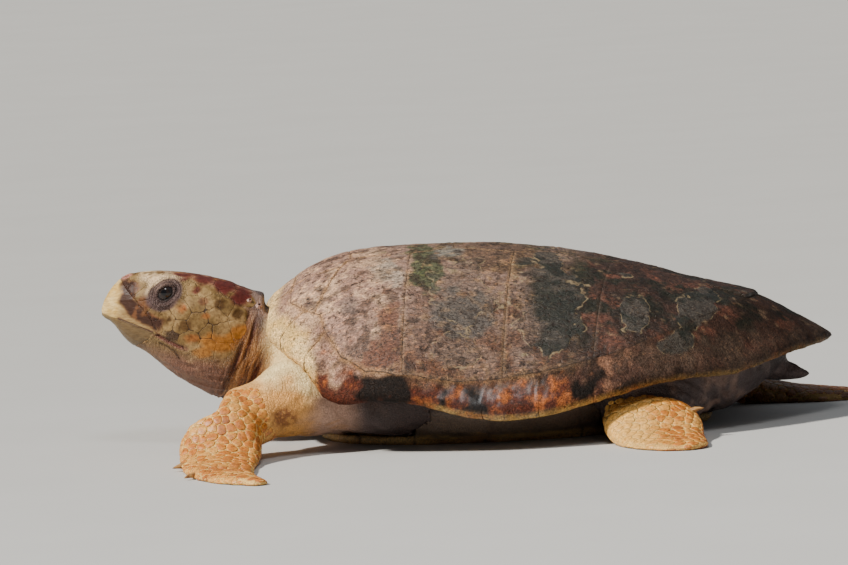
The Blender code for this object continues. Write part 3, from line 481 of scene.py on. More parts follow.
def store(mesh, name, values):
    """Keeps one number or colour for each point of a mesh."""
    values = np.asarray(values, np.float32)
    if values.ndim == 2:
        values = np.concatenate([values, np.ones((len(values), 1), np.float32)], axis=1)
        mesh.attributes.new(name, "FLOAT_COLOR", "POINT").data.foreach_set("color", values.ravel())
    else:
        mesh.attributes.new(name, "FLOAT", "POINT").data.foreach_set("value", values)


def triples(collection, what):
    """Three numbers of each item, as the rows of an array."""
    found = np.zeros(len(collection) * 3, np.float32)
    collection.foreach_get(what, found)
    return found.reshape(-1, 3).astype(float)


def coordinates(mesh):
    return triples(mesh.vertices, "co")


def normals(mesh):
    return triples(mesh.vertex_normals, "vector")


def place(mesh, points):
    mesh.vertices.foreach_set("co", np.asarray(points, np.float32).ravel())
    mesh.update()


def finished(bm, name, sharp=SHARP):
    """An object from a bmesh: faces outwards, shaded smooth but for edges sharper than an angle."""
    bmesh.ops.recalc_face_normals(bm, faces=bm.faces[:])
    mesh = bpy.data.meshes.new(name)
    bm.to_mesh(mesh)
    bm.free()
    made = bpy.data.objects.new(name, mesh)
    bpy.context.scene.collection.objects.link(made)
    mesh.shade_smooth()
    if sharp:
        mesh.set_sharp_from_angle(angle=math.radians(sharp))
    return made


def edge_distance(points, plan):
    """The distance in the plan from each point to the nearest side of an outline."""
    found = np.full(len(points), FAR)
    for a, b in zip(plan, np.roll(plan, -1, axis=0)):
        run = b - a
        share = np.clip(((points[:, :2] - a) @ run) / (run @ run), 0, 1)
        found = np.minimum(found, np.linalg.norm(points[:, :2] - a - share[:, None] * run, axis=1))
    return found


def inside(points, plan):
    """Whether each point lies within an outline of the plan."""
    crossed = np.zeros(len(points), int)
    for a, b in zip(plan, np.roll(plan, -1, axis=0)):
        spans = (a[1] > points[:, 1]) != (b[1] > points[:, 1])
        share = (points[:, 1] - a[1]) / np.where(b[1] == a[1], 1.0, b[1] - a[1])
        crossed += spans & (points[:, 0] < a[0] + share * (b[0] - a[0]))
    return crossed % 2 == 1


def fitted(bm, sides):
    """Brings the grid's border on to the sides that no straight cut can make."""
    for vert in bm.verts:
        spot = np.array(vert.co[:2])
        for a, b, out in sides:
            run = b - a
            share = float(np.clip(((spot - a) @ run) / (run @ run), 0, 1))
            away = spot - a - share * run
            over = float(away @ out)
            if (vert.is_boundary or over > 0) and np.hypot(*away) < 1.5 * MESH_X:
                vert.co.x, vert.co.y = a + share * run - out * SEAM_INSET
                break


def no_lift(x):
    return np.zeros_like(x)


KNOB_FROM, KNOB_SLOPE, KNOB_END = 0.24, 0.055, (0.336, 0.352)


def tail_lift(x):
    """The last shield of the back ends in a low knob."""
    return np.maximum(0.0, x - KNOB_FROM) * KNOB_SLOPE * (1 - 0.75 * rise(x, *KNOB_END))


def shield(name, plan, lift=no_lift):
    """A horny shield over its plan, worn, coloured and in its place on the dome."""
    plan = np.array(plan, float)
    low, high = plan.min(axis=0), plan.max(axis=0)
    columns, rows = (high - low) / (MESH_X, MESH_Y)
    bm = bmesh.new()
    bmesh.ops.create_grid(bm, x_segments=int(columns) + 2, y_segments=int(rows) + 2, size=0.5)
    bmesh.ops.scale(bm, vec=(*(high - low) * 1.01, 1), verts=bm.verts)
    bmesh.ops.translate(bm, vec=(*(high + low) / 2, 0), verts=bm.verts)
    middle, inward = plan.mean(axis=0), []
    for a, b in zip(plan, np.roll(plan, -1, axis=0)):
        out = np.array([b[1] - a[1], a[0] - b[0]])
        out *= np.sign(out @ (a - middle)) / np.linalg.norm(out)
        if ((plan - a) @ out).max() > TURNED_IN:
            inward.append((a, b, out))
            continue
        geometry = bm.verts[:] + bm.edges[:] + bm.faces[:]
        bmesh.ops.bisect_plane(bm, geom=geometry, dist=1e-5, plane_co=(*(a - out * SEAM_INSET), 0),
                               plane_no=(*out, 0), clear_outer=True)
    if inward:
        centres = np.array([face.calc_center_median()[:2] for face in bm.faces])
        beyond = [face for face, kept_face in zip(bm.faces, inside(centres, plan)) if not kept_face]
        bmesh.ops.delete(bm, geom=beyond, context="FACES")
        fitted(bm, inward)
    under = bm.verts.layers.int.new("under")
    grown = bmesh.ops.extrude_face_region(bm, geom=bm.faces[:], use_keep_orig=True)
    for vert in grown["geom"]:
        if isinstance(vert, bmesh.types.BMVert):
            vert[under] = 1
            vert.co.z -= SHELL
    made = finished(bm, name)
    mesh = made.data
    hidden = np.zeros(len(mesh.vertices), np.int32)
    mesh.attributes["under"].data.foreach_get("value", hidden)
    mesh.attributes.remove(mesh.attributes["under"])
    flat = coordinates(mesh)
    x, y = flat[:, 0], flat[:, 1]
    surface = np.stack([x, y, dome(x, y) + lift(x)], axis=1)
    seam = edge_distance(surface, plan)
    raised = surface + dome_normals(x, y) * relief(surface, seam)[:, None]
    lower = surface - (0, 0, SHELL)
    place(mesh, np.where(hidden[:, None] == 1, lower, raised))
    store(mesh, "seam", seam)
    store(mesh, "flake", flaking(surface))
    store(mesh, "tint", shell_colour(surface, seam))
    mesh.set_sharp_from_angle(angle=math.radians(SHARP))
    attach(made, "root")
    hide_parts(name)
    return made


back_shields = [shield(f"vertebral_shield_{number}", plan, tail_lift if number == 5 else no_lift)
                for number, plan in enumerate(vertebral_plans(), 1)]
for number, plan in enumerate(costal_plans(), 1):
    back_shields.append(shield(f"costal_shield_right_{number}", plan))
    back_shields.append(shield(f"costal_shield_left_{number}", mirrored(plan)))
print("shields of back and flanks:", len(back_shields))

# %% [markdown]
# ## The rim
# Each marginal shield wraps round the rim's edge and under it. A strip of grid is bent round the rim's
# section, its two long sides are merged, and its two open ends are closed.

# %% Shields of the rim
SECTION_POINTS = detail(34)
WORN_ENDS = 0.0030  # behind the shoulders the seams between the marginals are nearly worn away
RIM_STEP = detail(0.0026)
RIM_SHARP = 50


# The section from the seam to the edge, as shares of the shield's width, then round the edge and back under
# it, as insets from the edge and drops below it in half thicknesses. The last row counts how far round each
# of these points lies: 0 to 1 from the top to the edge's lowest point, and 2 underneath.
TOP_SHARES = (0, 0.2, 0.4, 0.6, 0.75, 0.87, 0.95)
UNDER_TURN = ((0.0015, -0.30), (0.0, 0.5), (0.004, 1.5), (0.012, 1.9), (0.03, 1.6), (UNDERSIDE, 0.9))
UNDER_LIP = 0.008  # how far the shield's inner edge turns up under the shell
FINER, FINER_SHARE = 1.6, 0.6  # more of the section's points lie on its first part, which is seen
ROUND_OF = (0, 0.08, 0.16, 0.24, 0.30, 0.35, 0.42, 0.55, 0.8, 1.0, 1.2, 1.5, 2, 2, 2.0)


def corners_cut(first, second, axis):
    """The two points that cutting the corners leaves on each side of a line."""
    return np.stack([first * 0.75 + second * 0.25, first * 0.25 + second * 0.75], axis=axis)


def rim_sections(places):
    """Closed sections of the rim at places of the half outline, with how far round each point lies."""
    side = np.sign(places)[:, None]
    places = np.abs(places)
    edge, seam = at(places, OUTLINE), seam_at(places)
    down = rim_thick(edge[:, 0]) / 2
    inward = -edge / np.linalg.norm(edge, axis=1, keepdims=True)
    edge_z = rim(edge[:, 0])
    rows = []
    for share in TOP_SHARES:
        spot = seam + (edge - seam) * share
        rows.append(np.column_stack([spot, dome(spot[:, 0], spot[:, 1])]))
    rows += [np.column_stack([edge + inward * inset, edge_z - down * drop]) for inset, drop in UNDER_TURN]
    rows.append(rows[-1] + (0, 0, UNDER_LIP))
    rows.append(np.column_stack([seam, dome(seam[:, 0], seam[:, 1]) - SHELL]))
    line, round_of = np.stack(rows, axis=1), np.array(ROUND_OF)
    for _ in range(2):
        cut = corners_cut(line[:, :-1], line[:, 1:], 2).reshape(len(line), -1, 3)
        line = np.concatenate([line[:, :1], cut, line[:, -1:]], axis=1)
        steps = corners_cut(round_of[:-1], round_of[1:], 1).ravel()
        round_of = np.concatenate([round_of[:1], steps, round_of[-1:]])
    spread = np.linalg.norm(np.diff(line, axis=1), axis=2).mean(axis=0)
    spread[: int(len(spread) * FINER_SHARE)] *= FINER
    along_it = np.concatenate([[0], np.cumsum(spread)])
    wanted = np.linspace(0, along_it[-1], SECTION_POINTS - 1)
    line = np.stack([[np.interp(wanted, along_it, row[:, k]) for k in range(3)] for row in line])
    line = line.transpose(0, 2, 1)
    line[:, :, 1] *= side
    return line, np.interp(wanted, along_it, round_of)


def rim_shield_piece(name, first, last):
    """A shield of the rim between two places of the outline. Places before the middle are negative."""
    count = max(6, int(abs(last - first) * OUTLINE_STEP / RIM_STEP))
    inset = SEAM_INSET / OUTLINE_STEP
    places = np.linspace(first + inset, last - inset, count)
    places[places == 0] = 1e-6
    line, round_of = rim_sections(places)
    bm = bmesh.new()
    bmesh.ops.create_grid(bm, x_segments=count - 1, y_segments=SECTION_POINTS - 1, size=1)
    bm.verts.ensure_lookup_table()
    grid = np.array([vert.co[:2] for vert in bm.verts])
    i = np.rint((grid[:, 0] + 1) / 2 * (count - 1)).astype(int)
    j = np.rint((grid[:, 1] + 1) / 2 * (SECTION_POINTS - 1)).astype(int) % (SECTION_POINTS - 1)
    for vert, spot in zip(bm.verts, line[i, j]):
        vert.co = spot
    bmesh.ops.remove_doubles(bm, verts=bm.verts, dist=1e-7)
    ends = bmesh.ops.holes_fill(bm, edges=[edge for edge in bm.edges if edge.is_boundary], sides=0)["faces"]
    bmesh.ops.triangulate(bm, faces=ends)
    made = finished(bm, name, RIM_SHARP)
    mesh = made.data
    surface = coordinates(mesh)
    tree = KDTree(line.shape[0] * line.shape[1])
    for k, spot in enumerate(line.reshape(-1, 3)):
        tree.insert(spot, k)
    tree.balance()
    found = np.array([tree.find(spot)[1] for spot in surface])
    i, j = found // (SECTION_POINTS - 1), found % (SECTION_POINTS - 1)
    down = round_of[j]
    ends = np.minimum(np.abs(places[i] - first), np.abs(last - places[i])) * OUTLINE_STEP
    ends = ends + WORN_ENDS * rise(surface[:, 0], -0.385, -0.33)
    inner_seam = seam_at(np.abs(places[i]))
    inner_seam[:, 1] *= np.sign(places[i])
    inner = np.linalg.norm(surface[:, :2] - inner_seam, axis=1)
    seam = np.where(down < 0.42, np.minimum(ends, inner), ends)
    out = normals(mesh)
    top = (1 - rise(down, 0.25, 0.42))[:, None]
    out = dome_normals(surface[:, 0], surface[:, 1]) * top + out * (1 - top)
    out /= np.linalg.norm(out, axis=1, keepdims=True)
    height = relief(surface, seam) * (1 - rise(down, 1.3, 1.8))
    height -= 0.0010 * rise(down, 0.35, 0.8) * (1 - rise(ends, 0.0, 0.010)) * (1 - rise(down, 1.2, 1.7))
    raised = surface + out * height[:, None]
    place(mesh, raised)
    store(mesh, "seam", seam)
    store(mesh, "flake", np.where(down < 0.5, flaking(surface), 0))
    store(mesh, "wet", rise(down, 0.02, 0.2) * span(surface[:, 0], -0.235, -0.19, -0.06, 0.0))
    store(mesh, "tint", rim_colour(surface, seam, down))
    mesh.set_sharp_from_angle(angle=math.radians(RIM_SHARP))
    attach(made, "root")
    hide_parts(name)
    return made


nuchal = rim_shield_piece("nuchal_shield", -NUCHAL_END, NUCHAL_END)
rim_shields = []
for number, (first, last) in enumerate(zip(MARGINAL_ENDS, MARGINAL_ENDS[1:]), 1):
    rim_shields.append(rim_shield_piece(f"marginal_shield_right_{number}", first, last))
    rim_shields.append(rim_shield_piece(f"marginal_shield_left_{number}", -last, -first))
print("shields of the rim:", len(rim_shields) + 1)

# %% [markdown]
# ## One skin
# Head, neck, trunk, limbs and tail are separate solids in the frame, but on the animal they are one skin.
# Copies of them are swelled until their thin cuts close, and a voxel remesh fuses them. The remesh leaves
# steps, which are evened out by moving each point towards its neighbours and then a little back, so that
# thin parts keep their thickness. What the shell hides is thinned, and head, neck and shoulders are refined.

# %% The fused flesh
FLESH = ["head", "neck", "trunk", "tail", "front_flipper_left", "front_flipper_right",
         "hind_flipper_left", "hind_flipper_right"]
INSIDE = ["eye_left", "eye_right", "beak_upper", "beak_lower"]
SWELL_OUT, COAT_DEPTH = 0.0006, 0.0009
SKIN_VOXEL = detail(0.0046)
SKIN_EVENING, PLASTRON_EVENING = 70, 25
OVER_FLOOR = 0.0006  # the skin keeps this clear of the floor, and leaves room for the scales under it


def copies(names, swell):
    """Copies of CAD nodes in one bmesh, their loose triangles merged, each swelled a little."""
    together = bmesh.new()
    for name in names:
        part = bmesh.new()
        part.from_mesh(nodes[name].data)
        bmesh.ops.remove_doubles(part, verts=part.verts, dist=1e-5)
        part.normal_update()
        for vert in part.verts:
            vert.co += vert.normal * swell
        mesh = bpy.data.meshes.new("part")
        part.to_mesh(mesh)
        part.free()
        together.from_mesh(mesh)
        bpy.data.meshes.remove(mesh)
    return together


def applied(made, name):
    """The object with its modifiers made real."""
    bpy.context.view_layer.update()
    mesh = bpy.data.meshes.new_from_object(made.evaluated_get(bpy.context.evaluated_depsgraph_get()))
    mesh.name = name
    made.modifiers.clear()
    made.data = mesh
    return made


def remeshed(made, voxel):
    fuse = made.modifiers.new("fuse", "REMESH")
    fuse.mode, fuse.voxel_size, fuse.adaptivity = "VOXEL", voxel, 0
    return applied(made, made.name)


def edge_ends(mesh):
    ends = np.zeros(len(mesh.edges) * 2, np.int64)
    mesh.edges.foreach_get("vertices", ends)
    return ends.reshape(-1, 2)


def neighbours_mean(values, ends, count):
    a, b = ends.T
    return np.stack([np.bincount(a, column[b], len(values)) + np.bincount(b, column[a], len(values))
                     for column in values.T], axis=1) / count


def evened(points, ends, times):
    """Points moved towards their neighbours, and then back so that the form doesn't shrink."""
    count = np.maximum(np.bincount(ends.ravel(), minlength=len(points)), 1)[:, None]
    for _ in range(times):
        for push in (0.5, -0.52):
            points = points + (neighbours_mean(points, ends, count) - points) * push
    return points


skin = finished(copies(FLESH + INSIDE, SWELL_OUT), "skin", None)
remeshed(skin, SKIN_VOXEL)
place(skin.data, evened(coordinates(skin.data), edge_ends(skin.data), SKIN_EVENING))
print("fused skin:", len(skin.data.polygons), "faces")

# %% Thin what the shell hides, refine what is looked at
HIDDEN_KEPT = 0.60  # the share of the hidden faces that is kept
EYE = np.array([-0.627, 0.0520, 0.2575])
EYE_RADIUS, EYE_FINE = 0.0180, 0.040


def under_shell(points):
    """True well inside the shell's outline and over the plastron, where no eye reaches."""
    x, y = points[:, 0], np.abs(points[:, 1])
    return (half_width(x) - y > 0.10) & (x > -0.36) & (x < 0.26) & (y < 0.20)


def looked_at(points):
    """Head, neck, shoulders and the left thigh, where folds are fine."""
    x, y, z = points.T
    front = (x < -0.40) & (z > 0.030) & (y < 0.21)
    thigh = (x > 0.06) & (x < 0.26) & (y < -0.14) & (z > 0.012) & (z < 0.10)
    return front | thigh


hidden = skin.vertex_groups.new(name="hidden")
hidden.add([int(i) for i in np.flatnonzero(under_shell(coordinates(skin.data)))], 1.0, "REPLACE")
thin = skin.modifiers.new("thin", "DECIMATE")
thin.ratio, thin.vertex_group, thin.vertex_group_factor = HIDDEN_KEPT, "hidden", 100
applied(skin, "skin")
skin.vertex_groups.clear()


def from_eye(points):
    """From the centre of the eye on the same side to each point."""
    centres = np.tile(EYE, (len(points), 1))
    centres[:, 1] *= np.sign(points[:, 1])
    return points - centres


def by_the_eye(points):
    return np.linalg.norm(from_eye(points), axis=1) < EYE_FINE


def refine(mesh, wanted, times):
    """Halves the edges whose two ends are wanted, and evens the result."""
    chosen = wanted(coordinates(mesh))
    bm = bmesh.new()
    bm.from_mesh(mesh)
    bm.verts.ensure_lookup_table()
    edges = [e for e in bm.edges if chosen[e.verts[0].index] and chosen[e.verts[1].index]]
    bmesh.ops.subdivide_edges(bm, edges=edges, cuts=1, use_grid_fill=True, smooth=0.0)
    bmesh.ops.triangulate(bm, faces=[f for f in bm.faces if len(f.verts) > 4])
    bm.to_mesh(mesh)
    bm.free()
    place(mesh, evened(coordinates(mesh), edge_ends(mesh), times))


refine(skin.data, looked_at, 4)
refine(skin.data, by_the_eye, 2)
print("refined skin:", len(skin.data.polygons), "faces")

# %% [markdown]
# ## Folds, lids and lips
# The skin's own shape is worked in the way a sculptor would: each feature is a height over the surface, given
# by where a point lies. The lids hug the eyeball, the mouth's corner is a groove with a soft lip, the neck
# is thrown into folds that lean back, and the skin at the roots of the limbs is finely wrinkled.

# %% Sculpting the skin
EYE_TILT, OPEN_LONG, OPEN_SHORT = math.radians(32), 0.0138, 0.0100
LID_EDGE, LID_FOLD, LID_STEP = 0.0030, 0.0010, 0.36
FOLD_LEAN, FOLD_SIZE = 0.40, (0.0075, 0.07, 0.06)  # the neck's folds lean back at the top
MOUTH_LINE = [(-0.652, 0.1955), (-0.640, 0.187), (-0.626, 0.178), (-0.610, 0.170), (-0.598, 0.166)]
LIP_FOLD = [(-0.640, 0.176), (-0.628, 0.170), (-0.616, 0.160), (-0.610, 0.150)]
NOSTRIL = (-0.6885, 0.0120, 0.2815)
BEAK_LINE = [(-0.706, 0.218), (-0.682, 0.207), (-0.652, 0.1955)]
NECK_FRONT = [(0.04, -0.575), (0.12, -0.530), (0.20, -0.496), (0.30, -0.490)]  # height and x
# The beak's hind border above and below the mouth: height and x.
UPPER_BORDER = [(0.20, -0.650), (0.214, -0.652), (0.236, -0.668), (0.258, -0.684), (0.279, -0.699),
                (0.30, -0.71)]
LOWER_BORDER = [(0.13, -0.695), (0.170, -0.682), (0.181, -0.662), (0.195, -0.650)]


def line_distance(points, line):
    """Distance to an open line drawn on the side view."""
    flat, line = points[:, (0, 2)], np.array(line)
    found = np.full(len(points), FAR)
    for a, b in zip(line, line[1:]):
        run = b - a
        share = np.clip(((flat - a) @ run) / (run @ run), 0, 1)
        found = np.minimum(found, np.linalg.norm(flat - a - share[:, None] * run, axis=1))
    return found


def from_nostril(points):
    """Distance to the middle of the nearer nostril, which is a little taller than long."""
    x, y, z = points.T
    away = [(x - NOSTRIL[0]) / 1.3, np.abs(y) - NOSTRIL[1], (z - NOSTRIL[2]) / 1.6]
    return np.linalg.norm(np.stack(away, axis=1), axis=1)


def eye_rings(points):
    """How far each point is from the eye's centre, counted in half axes of its opening."""
    dx, dz = points[:, 0] - EYE[0], points[:, 2] - EYE[2] + 0.0005
    along_it = dx * math.cos(EYE_TILT) + dz * math.sin(EYE_TILT)
    over = -dx * math.sin(EYE_TILT) + dz * math.cos(EYE_TILT)
    return np.where(np.abs(points[:, 1]) > 0.035, np.hypot(along_it / OPEN_LONG, over / OPEN_SHORT), 9.0)


def brow_share(points):
    """1 in front of the eye and above it, where the brow bulges over the socket, pale partly with painted
    highlight.
    """
    over = rise((points[:, 2] - EYE[2]) * 0.90 - (points[:, 0] - EYE[0]) * 0.42, 0.002, 0.018)
    return over * rise(points[:, 0], -0.662, -0.650)


def neck_share(points):
    """1 on the neck, fading into head and trunk."""
    x, y, z = points.T
    hind = 1 - rise(x + 0.25 * (z - 0.16), -0.492, -0.456)
    return rise(x - along(z, NECK_FRONT), -0.030, 0.012) * hind * (np.abs(y) < 0.17)


def neck_folds(points):
    """The leaning folds of the neck's skin, laid out so that plain noise over these points gives them."""
    folded = (points - FOLD_LEAN * points[:, 2:] * (1, 0, 0)) / FOLD_SIZE
    folded[:, 0] += cloud(points, 0.05, 81) * 0.9
    return folded


def neck_knobs(points):
    return ridged(points, 0.008, 92)


def shoulder_share(points):
    x, y, z = points.T
    near = span(x, -0.53, -0.47, -0.38, -0.34) * rise(z, 0.0, 0.03)
    return near * span(np.abs(y), 0.07, 0.12, 0.25, 0.29)


def shoulder_creases(points):
    wrinkled = points / (0.034, 0.010, 0.012)
    return ridged(wrinkled + cloud(points, 0.03, 84)[:, None] * 0.7, 1.0, 85)


def skin_heights(points):
    """How far each point of the skin is raised or sunk."""
    x, y, z = points.T
    wide = np.abs(y)
    neck, folds = neck_share(points), neck_folds(points)
    height = neck * (0.0019 * ridged(folds, 1.0, 82) + 0.0012 * ridged(folds * 2.3, 1.0, 83))
    height += neck * rise(z, 0.20, 0.235) * 0.0014 * neck_knobs(points)
    wrinkles = 0.0012 * shoulder_creases(points) + 0.0006 * ridged(points, 0.007, 86)
    height += shoulder_share(points) * wrinkles
    thigh = span(x, 0.02, 0.08, 0.27, 0.34) * span(wide, 0.10, 0.15, 0.235, 0.27)
    ripple = np.hypot(x - 0.155, (z - 0.02) * 1.25) * 2 * math.pi / 0.021
    arcs = np.sin(ripple + 2.2 * cloud(points, 0.05, 87))
    height += thigh * (0.0016 * arcs + 0.0008 * ridged(points, 0.009, 88))
    groin = rise(x, 0.20, 0.28) * (1 - rise(wide, 0.16, 0.2))
    height += groin * 0.0022 * ridged(points / (0.04, 0.02, 0.012), 1.0, 89)
    head = 1 - rise(x, -0.56, -0.50)
    height += head * 0.0004 * ridged(points, 0.006, 90)
    throat = head * (1 - rise(z, 0.13, 0.165)) + neck * (1 - rise(z, 0.1, 0.14)) * 0.5
    height += throat * 0.0013 * ridged(points / (0.05, 0.012, 0.012), 1.0, 91)
    mouth, lip = line_distance(points, MOUTH_LINE), line_distance(points, LIP_FOLD)
    height += np.where(x < -0.58, -0.0030 * bell(mouth, 0, 0.0022) + 0.0012 * bell(mouth, 0.0065, 0.0035), 0)
    height += np.where(x < -0.59, -0.0018 * bell(lip, 0, 0.0018), 0)
    hole = from_nostril(points)
    return height - 0.0050 * (1 - rise(hole, 0.0014, 0.0038)) + 0.0018 * bell(hole, 0.0056, 0.0020)


def lidded(points, out):
    """The points round each eye, brought on to the eyeball's curve as lids with an opening."""
    rings, away = eye_rings(points), from_eye(points)
    centre = points - away
    # the ring of points nearest to the opening's edge is drawn on to the edge itself
    snap = np.where((rings > 0.90) & (rings < 1.10), 1.0 / np.maximum(rings, 0.01), 1.0)[:, None]
    flat = away * (1, 0, 1) * snap + away * (0, 1, 0)
    direction = flat / np.linalg.norm(flat, axis=1, keepdims=True)
    lid = EYE_RADIUS + LID_EDGE + 0.0004 * rise(rings, 1.0, 1.15) - 0.0002
    folds = LID_FOLD * np.cos((rings - 1.12) * 2 * math.pi / LID_STEP) * span(rings, 1.02, 1.16, 1.8, 2.4)
    target = centre + direction * np.where(rings < 0.93, EYE_RADIUS - 0.0022, lid + folds)[:, None]
    hug = (1 - rise(rings, 1.20, 2.0))[:, None]
    moved = points * (1 - hug) + target * hug
    bag = 0.0026 * bell(rings, 1.75, 0.40) * rise(EYE[2] - points[:, 2], -0.004, 0.012)
    bag += 0.0036 * bell(rings, 2.20, 0.38) * brow_share(points)
    bag = np.where(rings < 3.2, bag + folds * (1 - hug[:, 0]), 0)
    return moved + out * bag[:, None]


def beak_cover(points):
    """How far each point lies in front of the beak's hind border."""
    x, _, z = points.T
    return np.where(z > 0.2, along(z, UPPER_BORDER), along(z, LOWER_BORDER)) - x


mesh = skin.data
base, out = coordinates(mesh), normals(mesh)
cover = beak_cover(base)
# a soft edge of skin round the beak, and the skin under the beak sunk out of its way
rounded = 0.0009 * bell(np.minimum(cover, 0), 0, 0.006) - 0.0027 * rise(cover, -0.001, 0.0015)
shaped = base + out * (skin_heights(base) - SWELL_OUT - COAT_DEPTH + rounded)[:, None]
shaped = lidded(shaped, out)
shaped[:, 2] = np.maximum(shaped[:, 2], OVER_FLOOR)
place(mesh, shaped)
mesh.shade_smooth()
print("skin sculpted:", len(mesh.vertices), "points, box", shaped.min(axis=0).round(3),
      shaped.max(axis=0).round(3))

# %% [markdown]
# ## Colours of the skin
# The head is cream and pale yellow with a dark red crown and temples, the throat pinkish, the neck's folds
# red brown. The shoulder is nearly white where it bulges, the limbs orange brown, the groin mauve grey.
# Skin and scales take their colours from the same rules, so that they carry the same markings. Painted
# shade darkens the head's pale and cream, the creases, the flank under the shell and the far hind flipper,
# and the pale brow is partly a painted highlight.

# %% Colours of the skin
# The head's pale and cream are darkened with painted shade, and the brow's pale colour is partly a painted
# highlight.
HEAD_PALE_SHADED, HEAD_CREAM_SHADED, BROW_AND_HIGHLIGHT = (0.160, 0.100, 0.036), (0.33, 0.220, 0.098), (0.74, 0.55, 0.34)
TEMPLE_RED, OLIVE, ORANGE_SPOT = (0.105, 0.022, 0.017), (0.070, 0.033, 0.009), (0.27, 0.085, 0.016)
THROAT_PINK, LID_GREY, LID_PALE = (0.215, 0.105, 0.072), (0.070, 0.043, 0.046), (0.150, 0.092, 0.078)
STREAK_PINK, ORANGE_YELLOW, WARM_BROWN = (0.36, 0.18, 0.12), (0.33, 0.135, 0.024), (0.150, 0.055, 0.022)
NOSTRIL_PINK, SPOT_DARK, MOUTH_PURPLE = (0.55, 0.24, 0.20), (0.040, 0.018, 0.013), (0.085, 0.030, 0.034)
LID_RIM, NOSTRIL_SHADE = (0.012, 0.009, 0.009), (0.03, 0.012, 0.01)
NECK_RED, NECK_YELLOW, NECK_KNOBS = (0.135, 0.040, 0.018), (0.33, 0.175, 0.075), (0.36, 0.22, 0.13)
SHOULDER_CREAM, SHOULDER_TAN, SHOULDER_PINK = (0.97, 0.74, 0.36), (0.76, 0.38, 0.11), (0.52, 0.33, 0.25)
LIMB_ORANGE, LIMB_TAN, LIMB_BROWN = (0.50, 0.165, 0.026), (0.68, 0.32, 0.070), (0.22, 0.07, 0.018)
LIMB_YELLOW, LIMB_GOLD, ELBOW_RUST = (0.88, 0.56, 0.18), (0.84, 0.50, 0.13), (0.26, 0.085, 0.035)
MAUVE_SKIN, DARK_SKIN_AND_SHADE, CREASE_SHADE = (0.105, 0.078, 0.076), (0.040, 0.027, 0.026), (0.035, 0.015, 0.009)
# Spots on each side of the head: x, z, half length, half height, colour, strength.
SPOTS = [(-0.602, 0.233, 0.011, 0.008, ORANGE_SPOT, 0.9), (-0.626, 0.216, 0.010, 0.007, OLIVE, 0.9),
         (-0.577, 0.260, 0.009, 0.007, TEMPLE_RED, 0.9), (-0.540, 0.236, 0.012, 0.009, OLIVE, 0.9),
         (-0.511, 0.218, 0.011, 0.009, OLIVE, 0.9), (-0.588, 0.183, 0.012, 0.008, ORANGE_SPOT, 0.7),
         (-0.563, 0.219, 0.008, 0.006, ORANGE_SPOT, 0.7), (-0.598, 0.283, 0.020, 0.009, TEMPLE_RED, 0.95),
         (-0.562, 0.276, 0.020, 0.010, TEMPLE_RED, 0.95), (-0.530, 0.264, 0.019, 0.014, TEMPLE_RED, 1.0),
         (-0.504, 0.243, 0.018, 0.014, TEMPLE_RED, 1.0), (-0.545, 0.173, 0.034, 0.018, ORANGE_YELLOW, 0.95),
         (-0.572, 0.159, 0.020, 0.011, ORANGE_YELLOW, 0.85),
         (-0.509, 0.190, 0.020, 0.016, ORANGE_YELLOW, 0.95),
         (-0.662, 0.243, 0.012, 0.014, WARM_BROWN, 0.75), (-0.676, 0.268, 0.010, 0.009, WARM_BROWN, 0.85),
         (-0.597, 0.205, 0.012, 0.009, OLIVE, 0.8), (-0.566, 0.243, 0.010, 0.008, WARM_BROWN, 0.7)]
SNOUT_BAND = [(-0.687, 0.268), (-0.692, 0.246), (-0.676, 0.229), (-0.655, 0.216), (-0.646, 0.210)]


def blotched(points, colour):
    """Brown blotches along a band which the beak and the skin of the snout share."""
    broad, torn = cloud(points, 0.016, 104, 3), cloud(points, 0.010, 105, 4)
    band = 1 - rise(line_distance(points, SNOUT_BAND) + 0.005 * broad, 0.007, 0.016)
    colour = blend(colour, WARM_BROWN, band * 0.92)
    return blend(colour, SPOT_DARK, band * rise(torn, -0.42, -0.04) * 0.92)


CROWN_EDGE = [(-0.70, 0.30), (-0.65, 0.292), (-0.60, 0.281), (-0.56, 0.268), (-0.50, 0.245)]  # x and height
THROAT_EDGE = [(-0.70, 0.19), (-0.60, 0.155), (-0.50, 0.14)]


def lid_colour(points, rings, lowered):
    """Grey folded lids, paler along their folds, cream where the brow bulges, partly as a painted highlight.
    """
    ridges = rise(np.cos((rings - 1.12) * 2 * math.pi / LID_STEP), -0.6, 0.8)
    colour = blend(LID_GREY, LID_PALE, ridges * (0.30 + 0.60 * brow_share(points)))
    return blend(colour, BROW_AND_HIGHLIGHT, brow_share(points) * rise(rings - lowered, 1.95, 2.25) * 0.8)


